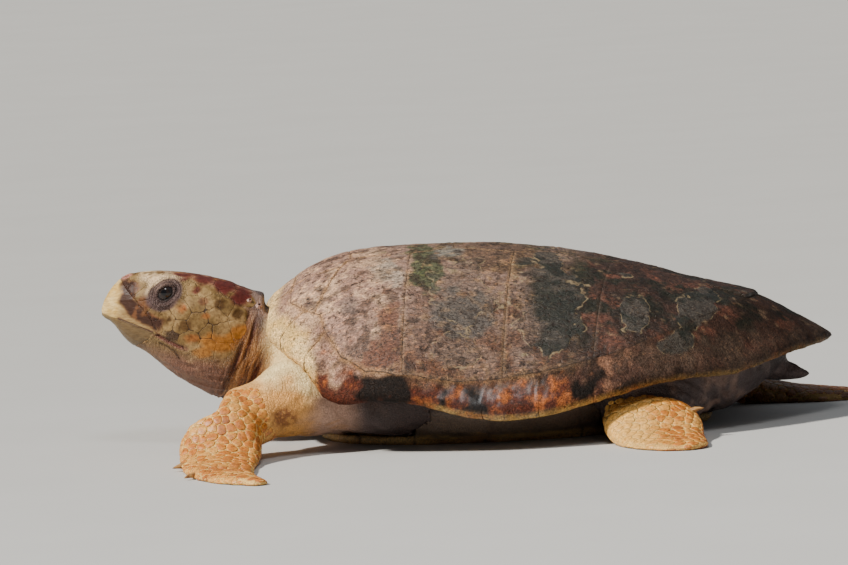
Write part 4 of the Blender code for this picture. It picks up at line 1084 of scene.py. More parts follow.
def head_colour(points):
    x, y, z = points.T
    mid, small = cloud(points, 0.022, 101, 3), cloud(points, 0.007, 102, 2)
    colour = blend(HEAD_PALE_SHADED, HEAD_CREAM_SHADED, rise(mid, -0.2, 0.5))
    crown = rise(z - along(x, CROWN_EDGE), -0.003, 0.006)
    colour = blend(colour, blend(TEMPLE_RED, LIMB_BROWN, rise(mid, 0, 0.5)), crown * 0.85)
    streaks = rise(noise(points / (0.030, 0.012, 0.005), 1.0, 106) + 0.5 * small, 0.15, 0.5)
    colour = blend(colour, STREAK_PINK, crown * streaks * 0.6)
    throat = 1 - rise(z - along(x, THROAT_EDGE), -0.018, 0.012)
    colour = blend(colour, blend(THROAT_PINK, HEAD_CREAM_SHADED, rise(mid, 0.1, 0.6) * 0.4), throat * 0.9)
    chin = (1 - rise(x, -0.67, -0.61)) * (1 - rise(z, 0.185, 0.20))
    colour = blend(colour, blend(HEAD_CREAM_SHADED, LIMB_TAN, rise(mid, 0.1, 0.5)), chin * 0.4)
    for sx, sz, long, high, tone, strength in SPOTS:
        away = np.hypot((x - sx) / long, (z - sz) / high) + 0.30 * mid + 0.15 * small
        colour = blend(colour, tone, (1 - rise(away, 0.65, 1.10)) * strength * (np.abs(y) > 0.015))
    colour = blotched(points, colour)
    # a pale crest on top of the snout in the brow's colour, partly painted highlight
    crest = span(x, -0.674, -0.658, -0.628, -0.606) * rise(z, 0.271, 0.281)
    colour = blend(colour, BROW_AND_HIGHLIGHT, crest * rise(mid + 0.5 * small, -0.5, 0.1) * 0.75)
    rings = eye_rings(points)
    low_front = rise(0.6 * (EYE[0] - x) + 0.8 * (EYE[2] - z), -0.004, 0.014)
    # the pale brow over and before the eye, partly painted highlight
    colour = blend(colour, BROW_AND_HIGHLIGHT, brow_share(points) * (1 - rise(rings + 0.2 * mid, 3.0, 3.6)) * 0.80)
    lid = 1 - rise(rings + 0.12 * mid - 0.35 * low_front, 1.95, 2.45)
    colour = blend(colour, lid_colour(points, rings, 0.25 * low_front), lid * 0.94)
    colour = blend(colour, LID_RIM, 1 - rise(rings, 0.98, 1.14))
    mouth, lip = line_distance(points, MOUTH_LINE), line_distance(points, LIP_FOLD)
    for tone, low, high in ((THROAT_PINK, 0.0015, 0.0060), (TEMPLE_RED, 0.0010, 0.0028)):
        colour = blend(colour, tone, (x < -0.58) * (1 - rise(mouth, low, high)) * 0.8)
    # painted shade along the groove of the lip's fold
    colour = blend(colour, CREASE_SHADE, (x < -0.59) * (1 - rise(lip, 0.0006, 0.0020)) * 0.8)
    hole = from_nostril(points)
    colour = blend(colour, NOSTRIL_PINK, (1 - rise(hole, 0.006, 0.009)) * 0.85)
    # painted shade in the nostril's hole
    return blend(colour, NOSTRIL_SHADE, 1 - rise(hole, 0.0024, 0.0040))


def neck_colour(points):
    """Red folds with yellow ridges and painted shade in their furrows, knobbly and paler at the top."""
    folds = ridged(neck_folds(points), 1.0, 82)
    colour = blend(NECK_RED, NECK_YELLOW, rise(folds, -0.1, 0.9))
    # painted shade in the furrows of the neck's folds
    colour = blend(colour, CREASE_SHADE, (1 - rise(folds, -0.8, -0.1)) * 0.85)
    knobs = blend(NECK_RED, NECK_KNOBS, rise(neck_knobs(points), -0.4, 0.6))
    return blend(colour, knobs, rise(points[:, 2], 0.20, 0.235) * 0.85)


def shoulder_colour(points, mid):
    """Cream where the shoulder bulges, tan below and pink behind."""
    x, _, z = points.T
    low = rise(0.118 - z - 0.25 * (x + 0.44) + 0.03 * mid, -0.02, 0.03)
    colour = blend(SHOULDER_CREAM, SHOULDER_TAN, low)
    colour = blend(colour, SHOULDER_PINK, rise(x + 0.25 * (0.09 - z) + 0.02 * mid, -0.420, -0.375))
    return blend(colour, LIMB_TAN, (1 - rise(shoulder_creases(points), -0.75, 0.0)) * 0.30)


def body_colour(points):
    """Neck, shoulders, limbs, groin and tail."""
    x, y, z = points.T
    wide = np.abs(y)
    mid, small = cloud(points, 0.03, 111, 3), cloud(points, 0.008, 112, 2)
    colour = blend(MAUVE_SKIN, SHOULDER_PINK, rise(mid, -0.1, 0.6) * 0.5)
    colour = blend(colour, neck_colour(points), neck_share(points))
    inner = along(x, [(-0.495, 0.09), (-0.455, 0.045)])
    forward = 0.10 * rise(wide, 0.12, 0.16)  # the limb's front side belongs to the shoulder too
    share = rise(x + forward, -0.55, -0.50) * (1 - rise(x, -0.36, -0.31)) * rise(wide - inner, 0.0, 0.04)
    colour = blend(colour, shoulder_colour(points, mid), share * rise(z, -0.02, 0.02))
    limb = blend(LIMB_YELLOW, LIMB_TAN, rise(mid + small * 0.5, -0.2, 0.5) * 0.6)
    colour = blend(colour, limb, np.maximum(fore_limb(points), hind_limb(points)))
    tail = rise(x, 0.30, 0.36) * (1 - rise(wide, 0.11, 0.13))
    colour = blend(colour, blend(DARK_SKIN_AND_SHADE, MAUVE_SKIN, rise(mid, -0.3, 0.5)), tail * 0.85)
    # painted shade on the trunk's flank under the shell
    flank = rise(x + 0.05 * mid + 0.3 * (z - 0.06), -0.345, -0.290) * (1 - rise(x, 0.04, 0.12))
    colour = blend(colour, DARK_SKIN_AND_SHADE, flank * (wide < 0.30) * 0.9)
    # painted shade on the right hind flipper
    colour = colour * blend(1.0, 0.22, far_foot_shade(points))[:, None]
    return blend(colour, ELBOW_RUST, elbow(points) * 0.8)


def far_foot_shade(points):
    """1 on the right hind flipper, which is darkened with painted shade."""
    return rise(points[:, 0], 0.30, 0.34) * (points[:, 1] > 0.11)


def elbow(points):
    """1 on the rough rusty patch behind the left elbow."""
    x, y, z = points.T
    away = np.hypot((x + 0.446) / 0.026, (z - 0.066) / 0.018)
    return (1 - rise(away, 0.5, 1.1)) * rise(cloud(points, 0.007, 113), -0.15, 0.15) * (y < 0)


def fore_limb(points):
    """1 on the front flippers beyond the shoulder."""
    x, y, z = points.T
    out = rise(np.abs(y) + 0.35 * (0.075 - z) - 0.25 * (x + 0.48), 0.242, 0.266)
    left = out * (1 - rise(x + 0.3 * (z - 0.06), -0.485, -0.465))
    return np.where(y < 0, left, rise(np.abs(y) + 0.6 * (0.07 - z), 0.235, 0.26) * (1 - rise(x, 0.0, 0.05)))


def hind_limb(points):
    """1 on the hind flippers beyond the thigh."""
    x, y, z = points.T
    left = rise(np.abs(y) - 0.2 * (z - 0.045), 0.258, 0.270) * rise(x, 0.04, 0.07)
    right = rise(x + 0.5 * (np.abs(y) - 0.17), 0.305, 0.335) * rise(np.abs(y), 0.125, 0.14)
    return np.where(y < 0, left, right)


def skin_colour(points):
    """All of these together, with painted shade in the gaps between the plates of the cheek."""
    x, y, z = points.T
    head = (1 - rise(x - along(z, NECK_FRONT), -0.012, 0.006)) * (np.abs(y) < 0.13)
    cheek = span(x, -0.640, -0.625, -0.540, -0.520) * span(z, 0.176, 0.184, 0.232, 0.246)
    return blend(blend(body_colour(points), head_colour(points), head), CREASE_SHADE, cheek * 0.85)


points = coordinates(skin.data)
store(skin.data, "tint", skin_colour(points))
store(skin.data, "neck", neck_share(points))
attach(skin, "root")
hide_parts(*FLESH)
print("skin coloured")

# %% [markdown]
# ## Scales
# The flippers and head are paved with horny scales that don't overlap, with pale soft skin between them.
# Each scale is a flattened sphere, pulled out to its share of the ground between its neighbours: in every
# direction it reaches half way to the next root, less a gap. Array copies the one scale, and the copies
# are then laid down on the skin. Every scale has its own small place on the unwrap of the skin.

# %% Laying scales
CHARTS = np.array([(0.0, 0.0), (0.5, 0.0), (0.0, 0.33), (0.5, 0.33), (0.0, 0.66), (0.5, 0.66)])
CHART_AXES = np.array([(1, 2), (0, 2), (0, 1)])  # the two axes along which a chart of each facing lies
UNWRAP_SHIFT, UNWRAP_SCALE, PATCH = (0.75, 0.68), 0.24, 0.0015
NEIGHBOURS, NO_NEIGHBOUR = 14, 9.0
SCALE_ROOTED = 0.0012  # how deep the underside of a scale is sunk in the skin
skin_tree = BVHTree.FromPolygons([tuple(p) for p in points], [tuple(f.vertices) for f in skin.data.polygons])


def on_skin(spots):
    """The nearest points of the skin with the directions out of it."""
    found = [skin_tree.find_nearest(spot) for spot in spots]
    return np.array([f[0] for f in found]), np.array([f[1] for f in found])


def unwrapped(roots, outs):
    """Places on the skin's unwrap: six charts, one for each way in which the skin can face."""
    axis = np.argmax(np.abs(outs), axis=1)
    chart = axis * 2 + (outs[np.arange(len(outs)), axis] > 0)
    flat = np.take_along_axis(roots, CHART_AXES[axis], axis=1)
    return CHARTS[chart] + (flat + UNWRAP_SHIFT) * UNWRAP_SCALE


def reach_of(roots, outs, sizes, angles, first, second, gap, limit, corner):
    """How far each scale reaches in each direction before it meets its neighbours."""
    tree = KDTree(len(roots))
    for k, root in enumerate(roots):
        tree.insert(root, k)
    tree.balance()
    reach = np.zeros((len(roots), len(angles)))
    for k, root in enumerate(roots):
        others = [i for _, i, _ in tree.find_n(root, NEIGHBOURS) if i != k]
        away = roots[others] - root
        flat = np.stack([away @ first[k], away @ second[k]], axis=1)
        distance = np.maximum(np.linalg.norm(flat, axis=1), 1e-4)
        true = np.linalg.norm(away, axis=1)
        border = true / 2 + (sizes[k] ** 2 - sizes[others] ** 2) / (2 * true)
        cosine = (np.cos(angles)[:, None] * flat[:, 0] + np.sin(angles)[:, None] * flat[:, 1]) / distance
        ahead = (cosine > 0.15) & (outs[others] @ outs[k] > -0.2)
        share = np.maximum(border - gap / 2, 0.0005) / np.maximum(cosine, 0.15)
        share = np.where(ahead, share, NO_NEIGHBOUR)
        share = np.concatenate([share, np.full((len(angles), 1), sizes[k] * limit)], axis=1)
        reach[k] = (share**-corner).sum(axis=1) ** (-1 / corner)
    return reach


def scales(name, roots, sizes, colours, sides=12, bands=4, thick=0.0008, gap=0.0007, limit=0.95, corner=24.0,
           wavy=0.0007):
    """One piece of scales over the skin, each with its own colour and a paler edge, or coloured by a rule.

    limit is the furthest reach in sizes, corner how sharp the corners are and wavy how far borders wander."""
    roots, outs = on_skin(roots)
    bm = bmesh.new()
    bmesh.ops.create_uvsphere(bm, u_segments=sides, v_segments=bands, radius=1.0)
    made = finished(bm, name, None)
    shape = coordinates(made.data)
    many = made.modifiers.new("many", "ARRAY")
    many.count, many.use_relative_offset, many.use_merge_vertices = len(roots), False, False
    many.use_constant_offset, many.constant_offset_displace = True, (0, 0, 0)
    applied(made, name)
    helper = np.where(np.abs(outs[:, 2:]) > 0.8, (1.0, 0, 0), (0, 0, 1.0))
    first = np.cross(helper, outs)
    first /= np.linalg.norm(first, axis=1, keepdims=True)
    second = np.cross(outs, first)
    angles = np.arctan2(shape[:, 1], shape[:, 0])
    share = np.linalg.norm(shape[:, :2], axis=1)
    share = np.where(shape[:, 2] > 0.01, share**0.55, share)
    reach = reach_of(roots, outs, sizes, angles, first, second, gap, limit, corner) * share
    spots = roots[:, None] + first[:, None] * (np.cos(angles) * reach)[..., None]
    spots = (spots + second[:, None] * (np.sin(angles) * reach)[..., None]).reshape(-1, 3)
    wander = [noise(spots, 0.0065, seed) + 0.5 * noise(spots, 0.003, seed) for seed in (31, 32, 33)]
    lying, up = on_skin(spots + wavy * np.stack(wander, axis=1))
    below = np.where(shape[:, 2] < -0.01, -SCALE_ROOTED, thick * 0.15)
    lift = np.where(shape[:, 2] > 0.01, thick * (1 - 0.45 * share**3), below)
    jitter = 0.75 + 0.5 * chance((roots * 1e5).astype(np.int64), 7)
    lifted = lying + up * (lift * jitter[:, None]).reshape(-1, 1)
    lifted[:, 2] = np.maximum(lifted[:, 2], 0.0)
    mesh = made.data
    place(mesh, lifted)
    if callable(colours):
        tone = colours(lifted)
    else:
        margin = rise(share + 0.25 * noise(spots, 0.004, 9).reshape(len(roots), -1), 0.80, 1.05)
        edge = np.minimum(colours * 2.6, LIMB_YELLOW)[:, None] + np.zeros((1, len(shape), 1))
        tone = blend(np.repeat(colours[:, None], len(shape), axis=1), edge, margin * 0.6).reshape(-1, 3)
    store(mesh, "tint", tone)
    corners = np.zeros(len(mesh.loops), np.int64)
    mesh.loops.foreach_get("vertex_index", corners)
    patch = unwrapped(roots, outs)[:, None] + shape[None, :, :2] * PATCH
    layer = mesh.uv_layers.new(name="OFBake")
    layer.data.foreach_set("uv", patch.reshape(-1, 2)[corners].astype(np.float32).ravel())
    mesh.shade_smooth()
    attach(made, "root")
    print(name, len(roots), "scales,", sum(len(f.vertices) - 2 for f in mesh.polygons), "triangles")
    return made


def scattered(candidates, spacing, seed):
    """Points picked one by one from candidates, none nearer to another than its spacing."""
    order = np.random.default_rng(seed).permutation(len(candidates))
    picked, table, box = [], {}, float(spacing.max())
    for k in order:
        spot, room = candidates[k], spacing[k]
        cell = (spot // box).astype(int)
        near = [j for shift in np.ndindex(3, 3, 3) for j in table.get(tuple(cell + shift - 1), ())]
        if all(np.linalg.norm(candidates[j] - spot) > (room + spacing[j]) / 2 for j in near):
            picked.append(k)
            table.setdefault(tuple(cell), []).append(k)
    return np.array(picked)


# %% Scales of the flippers
FLIPPER_SCALE = detail(0.0125)


def flipper_coat(name, share, seed):
    """The scales where a limb's share of the skin is over a half, smaller towards its root."""
    strength = share(points)
    chosen = np.flatnonzero(strength > 0.35)
    candidates = points[chosen]
    thickness = rise(strength[chosen], 0.35, 1.0)
    spacing = FLIPPER_SCALE * (0.55 + 0.45 * thickness) * (1 + 0.25 * cloud(candidates, 0.05, seed))
    picked = scattered(candidates, spacing, seed)
    roots, sizes = candidates[picked], spacing[picked]
    tone = cloud(roots, 0.05, seed + 1) * 0.6 + chance((roots * 1e5).astype(np.int64), seed) - 0.5
    colours = blend(LIMB_TAN, LIMB_ORANGE, rise(tone, -0.55, 0.0))
    colours = blend(colours, LIMB_BROWN, rise(tone, 0.20, 0.6) * 0.6)
    cream = (1 - rise(roots[:, 0], 0.115, 0.160)) * rise(roots[:, 0], 0.0, 0.05) * (roots[:, 1] < 0)
    colours = blend(colours, LIMB_GOLD, cream * 0.75)
    # painted shade on the scales of the right hind flipper
    colours = colours * blend(1.0, 0.20, far_foot_shade(roots))[:, None]
    made = scales(name, roots, sizes, colours)
    return made


def one_side(share, side):
    return lambda spots: share(spots) * (spots[:, 1] * side > 0)


coats = [flipper_coat("scales_front_left", one_side(fore_limb, LEFT), 21),
         flipper_coat("scales_front_right", one_side(fore_limb, RIGHT), 22),
         flipper_coat("scales_hind", hind_limb, 23)]

# %% [markdown]
# ## Plates of the head
# The head's scales are large plates with a fixed order: paired prefrontals over the snout, a big
# frontoparietal on the crown, supraoculars over the eyes, temporals behind them and smaller ones on the
# cheek. Each is given by its middle and its size on one side, and mirrored.

# %% Plates of the head
# Middle and size: x, z and size on the side, x, y and size on top.
SIDE_PLATES = [(-0.603, 0.230, 0.015), (-0.627, 0.214, 0.013), (-0.578, 0.241, 0.014), (-0.577, 0.209, 0.015),
               (-0.563, 0.194, 0.010), (-0.545, 0.219, 0.014), (-0.552, 0.241, 0.012), (-0.529, 0.232, 0.013),
               (-0.511, 0.218, 0.013), (-0.592, 0.181, 0.014), (-0.577, 0.261, 0.012), (-0.554, 0.260, 0.010),
               (-0.606, 0.204, 0.010), (-0.598, 0.283, 0.015), (-0.562, 0.279, 0.016), (-0.530, 0.264, 0.019),
               (-0.504, 0.245, 0.018), (-0.538, 0.190, 0.017), (-0.514, 0.196, 0.013), (-0.563, 0.168, 0.013),
               (-0.541, 0.163, 0.012), (-0.646, 0.205, 0.011), (-0.664, 0.256, 0.010), (-0.672, 0.268, 0.010),
               (-0.662, 0.238, 0.010), (-0.650, 0.222, 0.010)]
TOP_PLATES = [(-0.676, 0.010, 0.010), (-0.658, 0.014, 0.013), (-0.640, 0.030, 0.012), (-0.617, 0.036, 0.016),
              (-0.560, 0.033, 0.019), (-0.528, 0.018, 0.016), (-0.522, 0.047, 0.015), (-0.500, 0.020, 0.013),
              (-0.497, 0.052, 0.013), (-0.634, 0.0, 0.014), (-0.592, 0.0, 0.026), (-0.545, 0.0, 0.012)]


def ray_to_skin(start, direction):
    """Where a straight line from outside the head meets the skin."""
    hit = skin_tree.ray_cast(Vector(start), Vector(direction))[0]
    return np.array(hit if hit else skin_tree.find_nearest(Vector(start) + Vector(direction) * 0.22)[0])


def head_plates():
    """The plates of both sides and the top as one piece, with wavy borders and sharp corners."""
    roots, sizes = [], []
    for side in (LEFT, RIGHT):
        for x, z, size in SIDE_PLATES:
            roots.append(ray_to_skin((x, side * 0.3, z), (0, -side, 0)))
            sizes.append(size)
        for x, y, size in TOP_PLATES:
            if y or side == LEFT:
                roots.append(ray_to_skin((x, side * y, 0.5), (0, 0, -1)))
                sizes.append(size)
    made = scales("scales_head", np.array(roots), np.array(sizes), head_colour, sides=44, bands=10,
                  thick=0.00045, gap=0.00050, limit=1.35, corner=34.0, wavy=0.0015)
    return made


coats.append(head_plates())

# %% [markdown]
# ## Beak, eyes and claws
# The beak is a horny sheath over each jaw. It is the CAD's own solid, remeshed finely and evened, so that its
# edges are rounded as worn horn is. The eye is a ball with a clear bulge over iris and pupil. The claws are
# made like the beak.

# %% Beak and claws
BEAK_YELLOW, BEAK_CREAM, LOWER_BEAK_SHADE = (0.60, 0.39, 0.115), (0.70, 0.51, 0.22), (0.110, 0.072, 0.036)
CLAW_GOLD, CLAW_BROWN = (0.45, 0.25, 0.09), (0.20, 0.09, 0.035)
BEAK_FRONT = [(0.200, -0.716), (0.222, -0.712), (0.250, -0.702), (0.285, -0.697)]  # height and x
BEAK_VOXEL, BEAK_EVENING, BEAK_SWELL = detail(0.0013), 14, 0.0003
CLAW_VOXEL, CLAW_EVENING, CLAW_SWELL = detail(0.0009), 8, 0.0004


def horn_copy(node, voxel, times, swell=BEAK_SWELL):
    """The CAD's own solid, remeshed finely and evened."""
    made = remeshed(finished(copies([node], swell), node, None), voxel)
    mesh = made.data
    place(mesh, evened(coordinates(mesh), edge_ends(mesh), times))
    mesh.shade_smooth()
    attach(made, "root")
    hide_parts(node)
    return made


def beak_colour(points):
    """Yellow at the tip, cream behind, darkened with painted shade and blotched like the snout, and dark
    along the mouth.
    """
    x, _, z = points.T
    mid = cloud(points, 0.016, 121, 3)
    streaks = noise(points / (0.020, 0.020, 0.0035), 1.0, 123)
    colour = blend(BEAK_YELLOW, BEAK_CREAM, rise(mid + 0.3 * streaks, -0.3, 0.5))
    colour = blend(colour, HEAD_CREAM_SHADED, rise(x - along(z, BEAK_FRONT), -0.004, 0.012) * 0.9)
    colour = blotched(points, colour)
    return blend(colour, MOUTH_PURPLE, (1 - rise(line_distance(points, BEAK_LINE), 0.0008, 0.0030)) * 0.8)


beaks = []
for node in ("beak_upper", "beak_lower"):
    piece = horn_copy(node, BEAK_VOXEL, BEAK_EVENING)
    mesh = piece.data
    spots, out = coordinates(mesh), normals(mesh)
    lines = noise(spots / (0.012, 0.012, 0.0030), 1.0, 124) * 0.00022 + cloud(spots, 0.008, 125, 2) * 0.00025
    place(mesh, spots + out * lines[:, None])
    tone = beak_colour(spots)
    # the lower beak is darkened with painted shade
    if node == "beak_lower":
        tone = blend(tone, LOWER_BEAK_SHADE, np.full(len(spots), 0.80))
    store(mesh, "tint", tone)
    beaks.append(piece)
claws = []
for node in ("claw_front_left_1", "claw_front_left_2", "claw_front_right_1", "claw_front_right_2",
             "claw_hind_left", "claw_hind_right"):
    piece = horn_copy(node, CLAW_VOXEL, CLAW_EVENING, CLAW_SWELL)
    spots = coordinates(piece.data)
    spots[:, 2] = np.maximum(spots[:, 2], 0.0002)
    place(piece.data, spots)
    store(piece.data, "tint", blend(CLAW_GOLD, CLAW_BROWN, rise(cloud(spots, 0.006, 131), -0.2, 0.5)))
    claws.append(piece)
print("beaks and claws:", len(beaks) + len(claws))

# %% Eyes
PUPIL, IRIS, BULGE, BULGE_WIDE = 0.0052, 0.0098, 0.0006, 0.011
IRIS_BROWN, IRIS_DARK, PUPIL_BLACK = (0.026, 0.015, 0.011), (0.011, 0.007, 0.006), (0.003, 0.003, 0.004)
EYE_WHITE = (0.020, 0.016, 0.017)  # what shows of it is nearly as dark as the iris


def upright_to(direction):
    """The turn that brings the Z axis on to a direction."""
    return Vector((0, 0, 1)).rotation_difference(direction).to_matrix()


def eye(side, name, node):
    """A ball that looks outwards, a little forwards and up, with a clear bulge."""
    gaze = Vector((-0.16, side, 0.10)).normalized()
    bm = bmesh.new()
    bmesh.ops.create_uvsphere(bm, u_segments=48, v_segments=40, radius=EYE_RADIUS)
    bmesh.ops.rotate(bm, verts=bm.verts, cent=(0, 0, 0), matrix=upright_to(gaze))
    for vert in bm.verts:
        off = (vert.co - gaze * vert.co.dot(gaze)).length if vert.co.dot(gaze) > 0 else 1
        vert.co += gaze * BULGE * max(0.0, 1 - (off / BULGE_WIDE) ** 2)
    middle = (EYE[0], side * EYE[1], EYE[2])
    bmesh.ops.translate(bm, verts=bm.verts, vec=middle)
    made = finished(bm, name, None)
    away = coordinates(made.data) - middle
    ahead = away @ np.array(gaze)
    off = np.where(ahead > 0, np.linalg.norm(away - ahead[:, None] * np.array(gaze), axis=1), 1.0)
    tone = blend(IRIS_BROWN, IRIS_DARK, rise(noise(away / 0.0018, 1.0, 141), -0.5, 0.6))
    tone = blend(PUPIL_BLACK, tone, rise(off, PUPIL - 0.0006, PUPIL + 0.0006))
    tone = blend(tone, EYE_WHITE, rise(off, IRIS - 0.0008, IRIS + 0.0008))
    store(made.data, "tint", tone)
    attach(made, "root")
    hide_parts(node)
    return made


eyes = [eye(LEFT, "eyeball_left", "eye_left"), eye(RIGHT, "eyeball_right", "eye_right")]
print("eyes:", len(eyes))

# %% [markdown]
# ## Barnacles
# Two small barnacles sit where the head meets the neck. Each is a low cone of six plates round an opening.
# A cone is given its plates by moving its points in and out round the axis, and its top is inset and sunk.

# %% Barnacles
BARNACLES = [(-0.491, 0.237, 0.0050), (-0.476, 0.228, 0.0060)]  # x, z and radius
BARNACLE_SIDES, PLATES = 36, 6
TALL, TOP, WALL, HOLE_DEEP = 0.9, 0.55, 0.16, 0.45  # in radii
BARNACLE_DULL, BARNACLE_PALE, BARNACLE_HOLE = (0.30, 0.17, 0.145), (0.52, 0.36, 0.31), (0.13, 0.065, 0.055)


def barnacle(number, x, z, radius):
    """A barnacle on the left of the neck, standing straight out of the skin."""
    bm = bmesh.new()
    bmesh.ops.create_cone(bm, cap_ends=True, segments=BARNACLE_SIDES, radius1=radius, radius2=radius * TOP,
                          depth=radius * TALL)
    top = [face for face in bm.faces if face.normal.z > 0.9]
    bmesh.ops.inset_region(bm, faces=top, thickness=radius * WALL)
    sunk = bmesh.ops.extrude_face_region(bm, geom=top)["geom"]
    sunk = [part for part in sunk if isinstance(part, bmesh.types.BMVert)]
    bmesh.ops.translate(bm, vec=(0, 0, -radius * HOLE_DEEP), verts=sunk)
    bmesh.ops.delete(bm, geom=top, context="FACES_ONLY")
    long_edges = [e for e in bm.edges if e.calc_length() > radius * 0.4]
    bmesh.ops.subdivide_edges(bm, edges=long_edges, cuts=3, use_grid_fill=True)
    for vert in bm.verts:
        plates = math.cos(PLATES * math.atan2(vert.co.y, vert.co.x))
        vert.co.xy *= 1 + 0.07 * plates
        vert.co.z += radius * 0.06 * plates * (vert.co.z > 0)
    root = ray_to_skin((x, LEFT * 0.3, z), (0, -LEFT, 0))
    out = skin_tree.find_nearest(Vector(root))[1]
    bmesh.ops.rotate(bm, verts=bm.verts, cent=(0, 0, 0), matrix=upright_to(out))
    bmesh.ops.translate(bm, verts=bm.verts, vec=Vector(root) + out * radius * 0.25)
    made = finished(bm, f"barnacle_{number}", 50)
    spots = coordinates(made.data)
    height = (spots - root) @ np.array(out)
    off = np.linalg.norm(np.cross(spots - root, np.array(out)), axis=1)
    hollow = rise(height, radius * 0.05, radius * 0.3) * (off < radius * 0.42)
    tone = blend(BARNACLE_DULL, BARNACLE_PALE, rise(noise(spots, 0.0015, 161), -0.5, 0.5))
    store(made.data, "tint", blend(tone, BARNACLE_HOLE, hollow))
    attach(made, "root")
    return made


barnacles = [barnacle(number, *one) for number, one in enumerate(BARNACLES, 1)]
print("barnacles:", len(barnacles))

# %% [markdown]
# ## The plastron
# Underneath, the flat plastron and its two bridges carry the animal's weight. It is yellow horn in broad
# shields, seen only as the bridge under the rim, its sides above the floor darkened with painted shade. The
# CAD's solid is evened and its seams are pressed in.

# %% Plastron
PLASTRON_SEAMS = [-0.325, -0.245, -0.115, 0.030, 0.135]
PLASTRON_YELLOW, PLASTRON_BROWN = (0.46, 0.31, 0.12), (0.26, 0.13, 0.05)
plastron = remeshed(finished(copies(["plastron"], 0.0), "plastron", None), detail(0.0045))
spots, ends = coordinates(plastron.data), edge_ends(plastron.data)
flat = spots[:, 2] < 0.002
spots = np.where(flat[:, None], spots, evened(spots, ends, PLASTRON_EVENING))
place(plastron.data, spots)
wander = 0.01 * noise(spots, 0.05, 151)
across = [np.abs(spots[:, 0] - x + wander) for x in PLASTRON_SEAMS]
seam = np.min(across + [np.abs(spots[:, 1])], axis=0)
spots = spots + normals(plastron.data) * (-0.0010 * (1 - rise(seam, 0.0, 0.005)) * ~flat)[:, None]
spots[:, 2] = np.maximum(spots[:, 2], 0.0)
place(plastron.data, spots)
plastron.data.shade_smooth()
tone = blend(PLASTRON_YELLOW, PLASTRON_BROWN, rise(cloud(spots, 0.05, 152, 4), 0.0, 0.5))
# painted shade on the plastron's sides and bridges above the floor
tone = blend(tone, DARK_SKIN_AND_SHADE, rise(spots[:, 2] + 0.008 * cloud(spots, 0.03, 153), 0.012, 0.024) * 0.93)
store(plastron.data, "tint", blend(tone, EARTH, (1 - rise(seam, 0.001, 0.003)) * 0.7))
store(plastron.data, "seam", seam)
store(plastron.data, "flake", np.zeros(len(spots)))
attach(plastron, "root")
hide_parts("plastron")
print("plastron:", len(plastron.data.polygons), "faces")

# %% [markdown]
# ## Finishes
# The colour kept on each mesh is only the broad pattern. The finish adds what is finer than the mesh: flecks
# and fibres in the horn, hairline seams, the pale broken edge of a flake, pores and wrinkles in the skin. All
# of it is made from object coordinates and attributes, so that it stays on the piece from every side.

# %% Small helpers for shader nodes
def wire(tree, socket, value):
    if isinstance(value, bpy.types.NodeSocket):
        tree.links.new(value, socket)
    else:
        socket.default_value = value


def node(tree, kind, settings=None, **sockets):
    """A shader node with its settings and inputs. Underscores in an input's name are spaces."""
    made = tree.nodes.new("ShaderNode" + kind)
    for key, value in (settings or {}).items():
        setattr(made, key, value)
    for key, value in sockets.items():
        wire(tree, made.inputs[key.replace("_", " ")], value)
    return made


def mixed(tree, share, first, second, how="MIX"):
    """Two colours blended by a share. A colour is a socket or three numbers."""
    made = node(tree, "Mix", {"data_type": "RGBA", "blend_type": how})
    wire(tree, made.inputs[0], share)
    for index, colour in ((6, first), (7, second)):
        wire(tree, made.inputs[index], (*colour, 1) if isinstance(colour, tuple) else colour)
    return made.outputs[2]


def stained(tree, colour, share, factor):
    """A colour multiplied by another one, as far as the share says."""
    return mixed(tree, share, colour, factor, "MULTIPLY")


def ramp(tree, value, low, high, start=0.0, end=1.0):
    """From start to end as the value goes from low to high, with soft ends."""
    return node(tree, "MapRange", {"interpolation_type": "SMOOTHSTEP"}, Value=value, From_Min=low,
                From_Max=high, To_Min=start, To_Max=end).outputs["Result"]


def joined(tree, operation, first, *others):
    """Several values added up or multiplied with each other."""
    for other in others:
        made = node(tree, "Math", {"operation": operation})
        wire(tree, made.inputs[0], first)
        wire(tree, made.inputs[1], other)
        first = made.outputs[0]
    return first


def kept(tree, name, colour=False):
    """An attribute of the mesh, as a colour or as a number."""
    return node(tree, "Attribute", {"attribute_name": name}).outputs["Color" if colour else "Fac"]


def ground(tree, stretch=(1, 1, 1)):
    """The object's own coordinates, which every pattern lies in."""
    place = node(tree, "TexCoord").outputs["Object"]
    return node(tree, "Mapping", None, Vector=place, Scale=stretch).outputs["Vector"]


def grain(tree, size, octaves=4.0, stretch=(1, 1, 1), rough=0.6, distort=0.0):
    """Soft noise with blobs of a size in metres."""
    return node(tree, "TexNoise", None, Vector=ground(tree, stretch), Scale=1 / size, Detail=octaves,
                Roughness=rough, Distortion=distort).outputs["Fac"]


def cracks(tree, size, stretch=(1, 1, 1), rough=1.0):
    """The distance to the nearest border between scattered cells, 0 on the border."""
    return node(tree, "TexVoronoi", {"feature": "DISTANCE_TO_EDGE"}, Vector=ground(tree, stretch),
                Scale=1 / size, Randomness=rough).outputs["Distance"]


def new_finish(name):
    material = bpy.data.materials.new(name)
    material.use_nodes = True
    return material, material.node_tree, material.node_tree.nodes["Principled BSDF"]


def settled(tree, shader, colour, matt, gloss, relief, depth, strength):
    """A finish gets its colour, its roughness, its gloss and a relief of a depth in metres."""
    bump = node(tree, "Bump", None, Height=relief, Distance=depth, Strength=strength)
    for value, socket in ((colour, "Base Color"), (matt, "Roughness"), (gloss, "Specular IOR Level"),
                          (bump.outputs["Normal"], "Normal")):
        wire(tree, shader.inputs[socket], value)


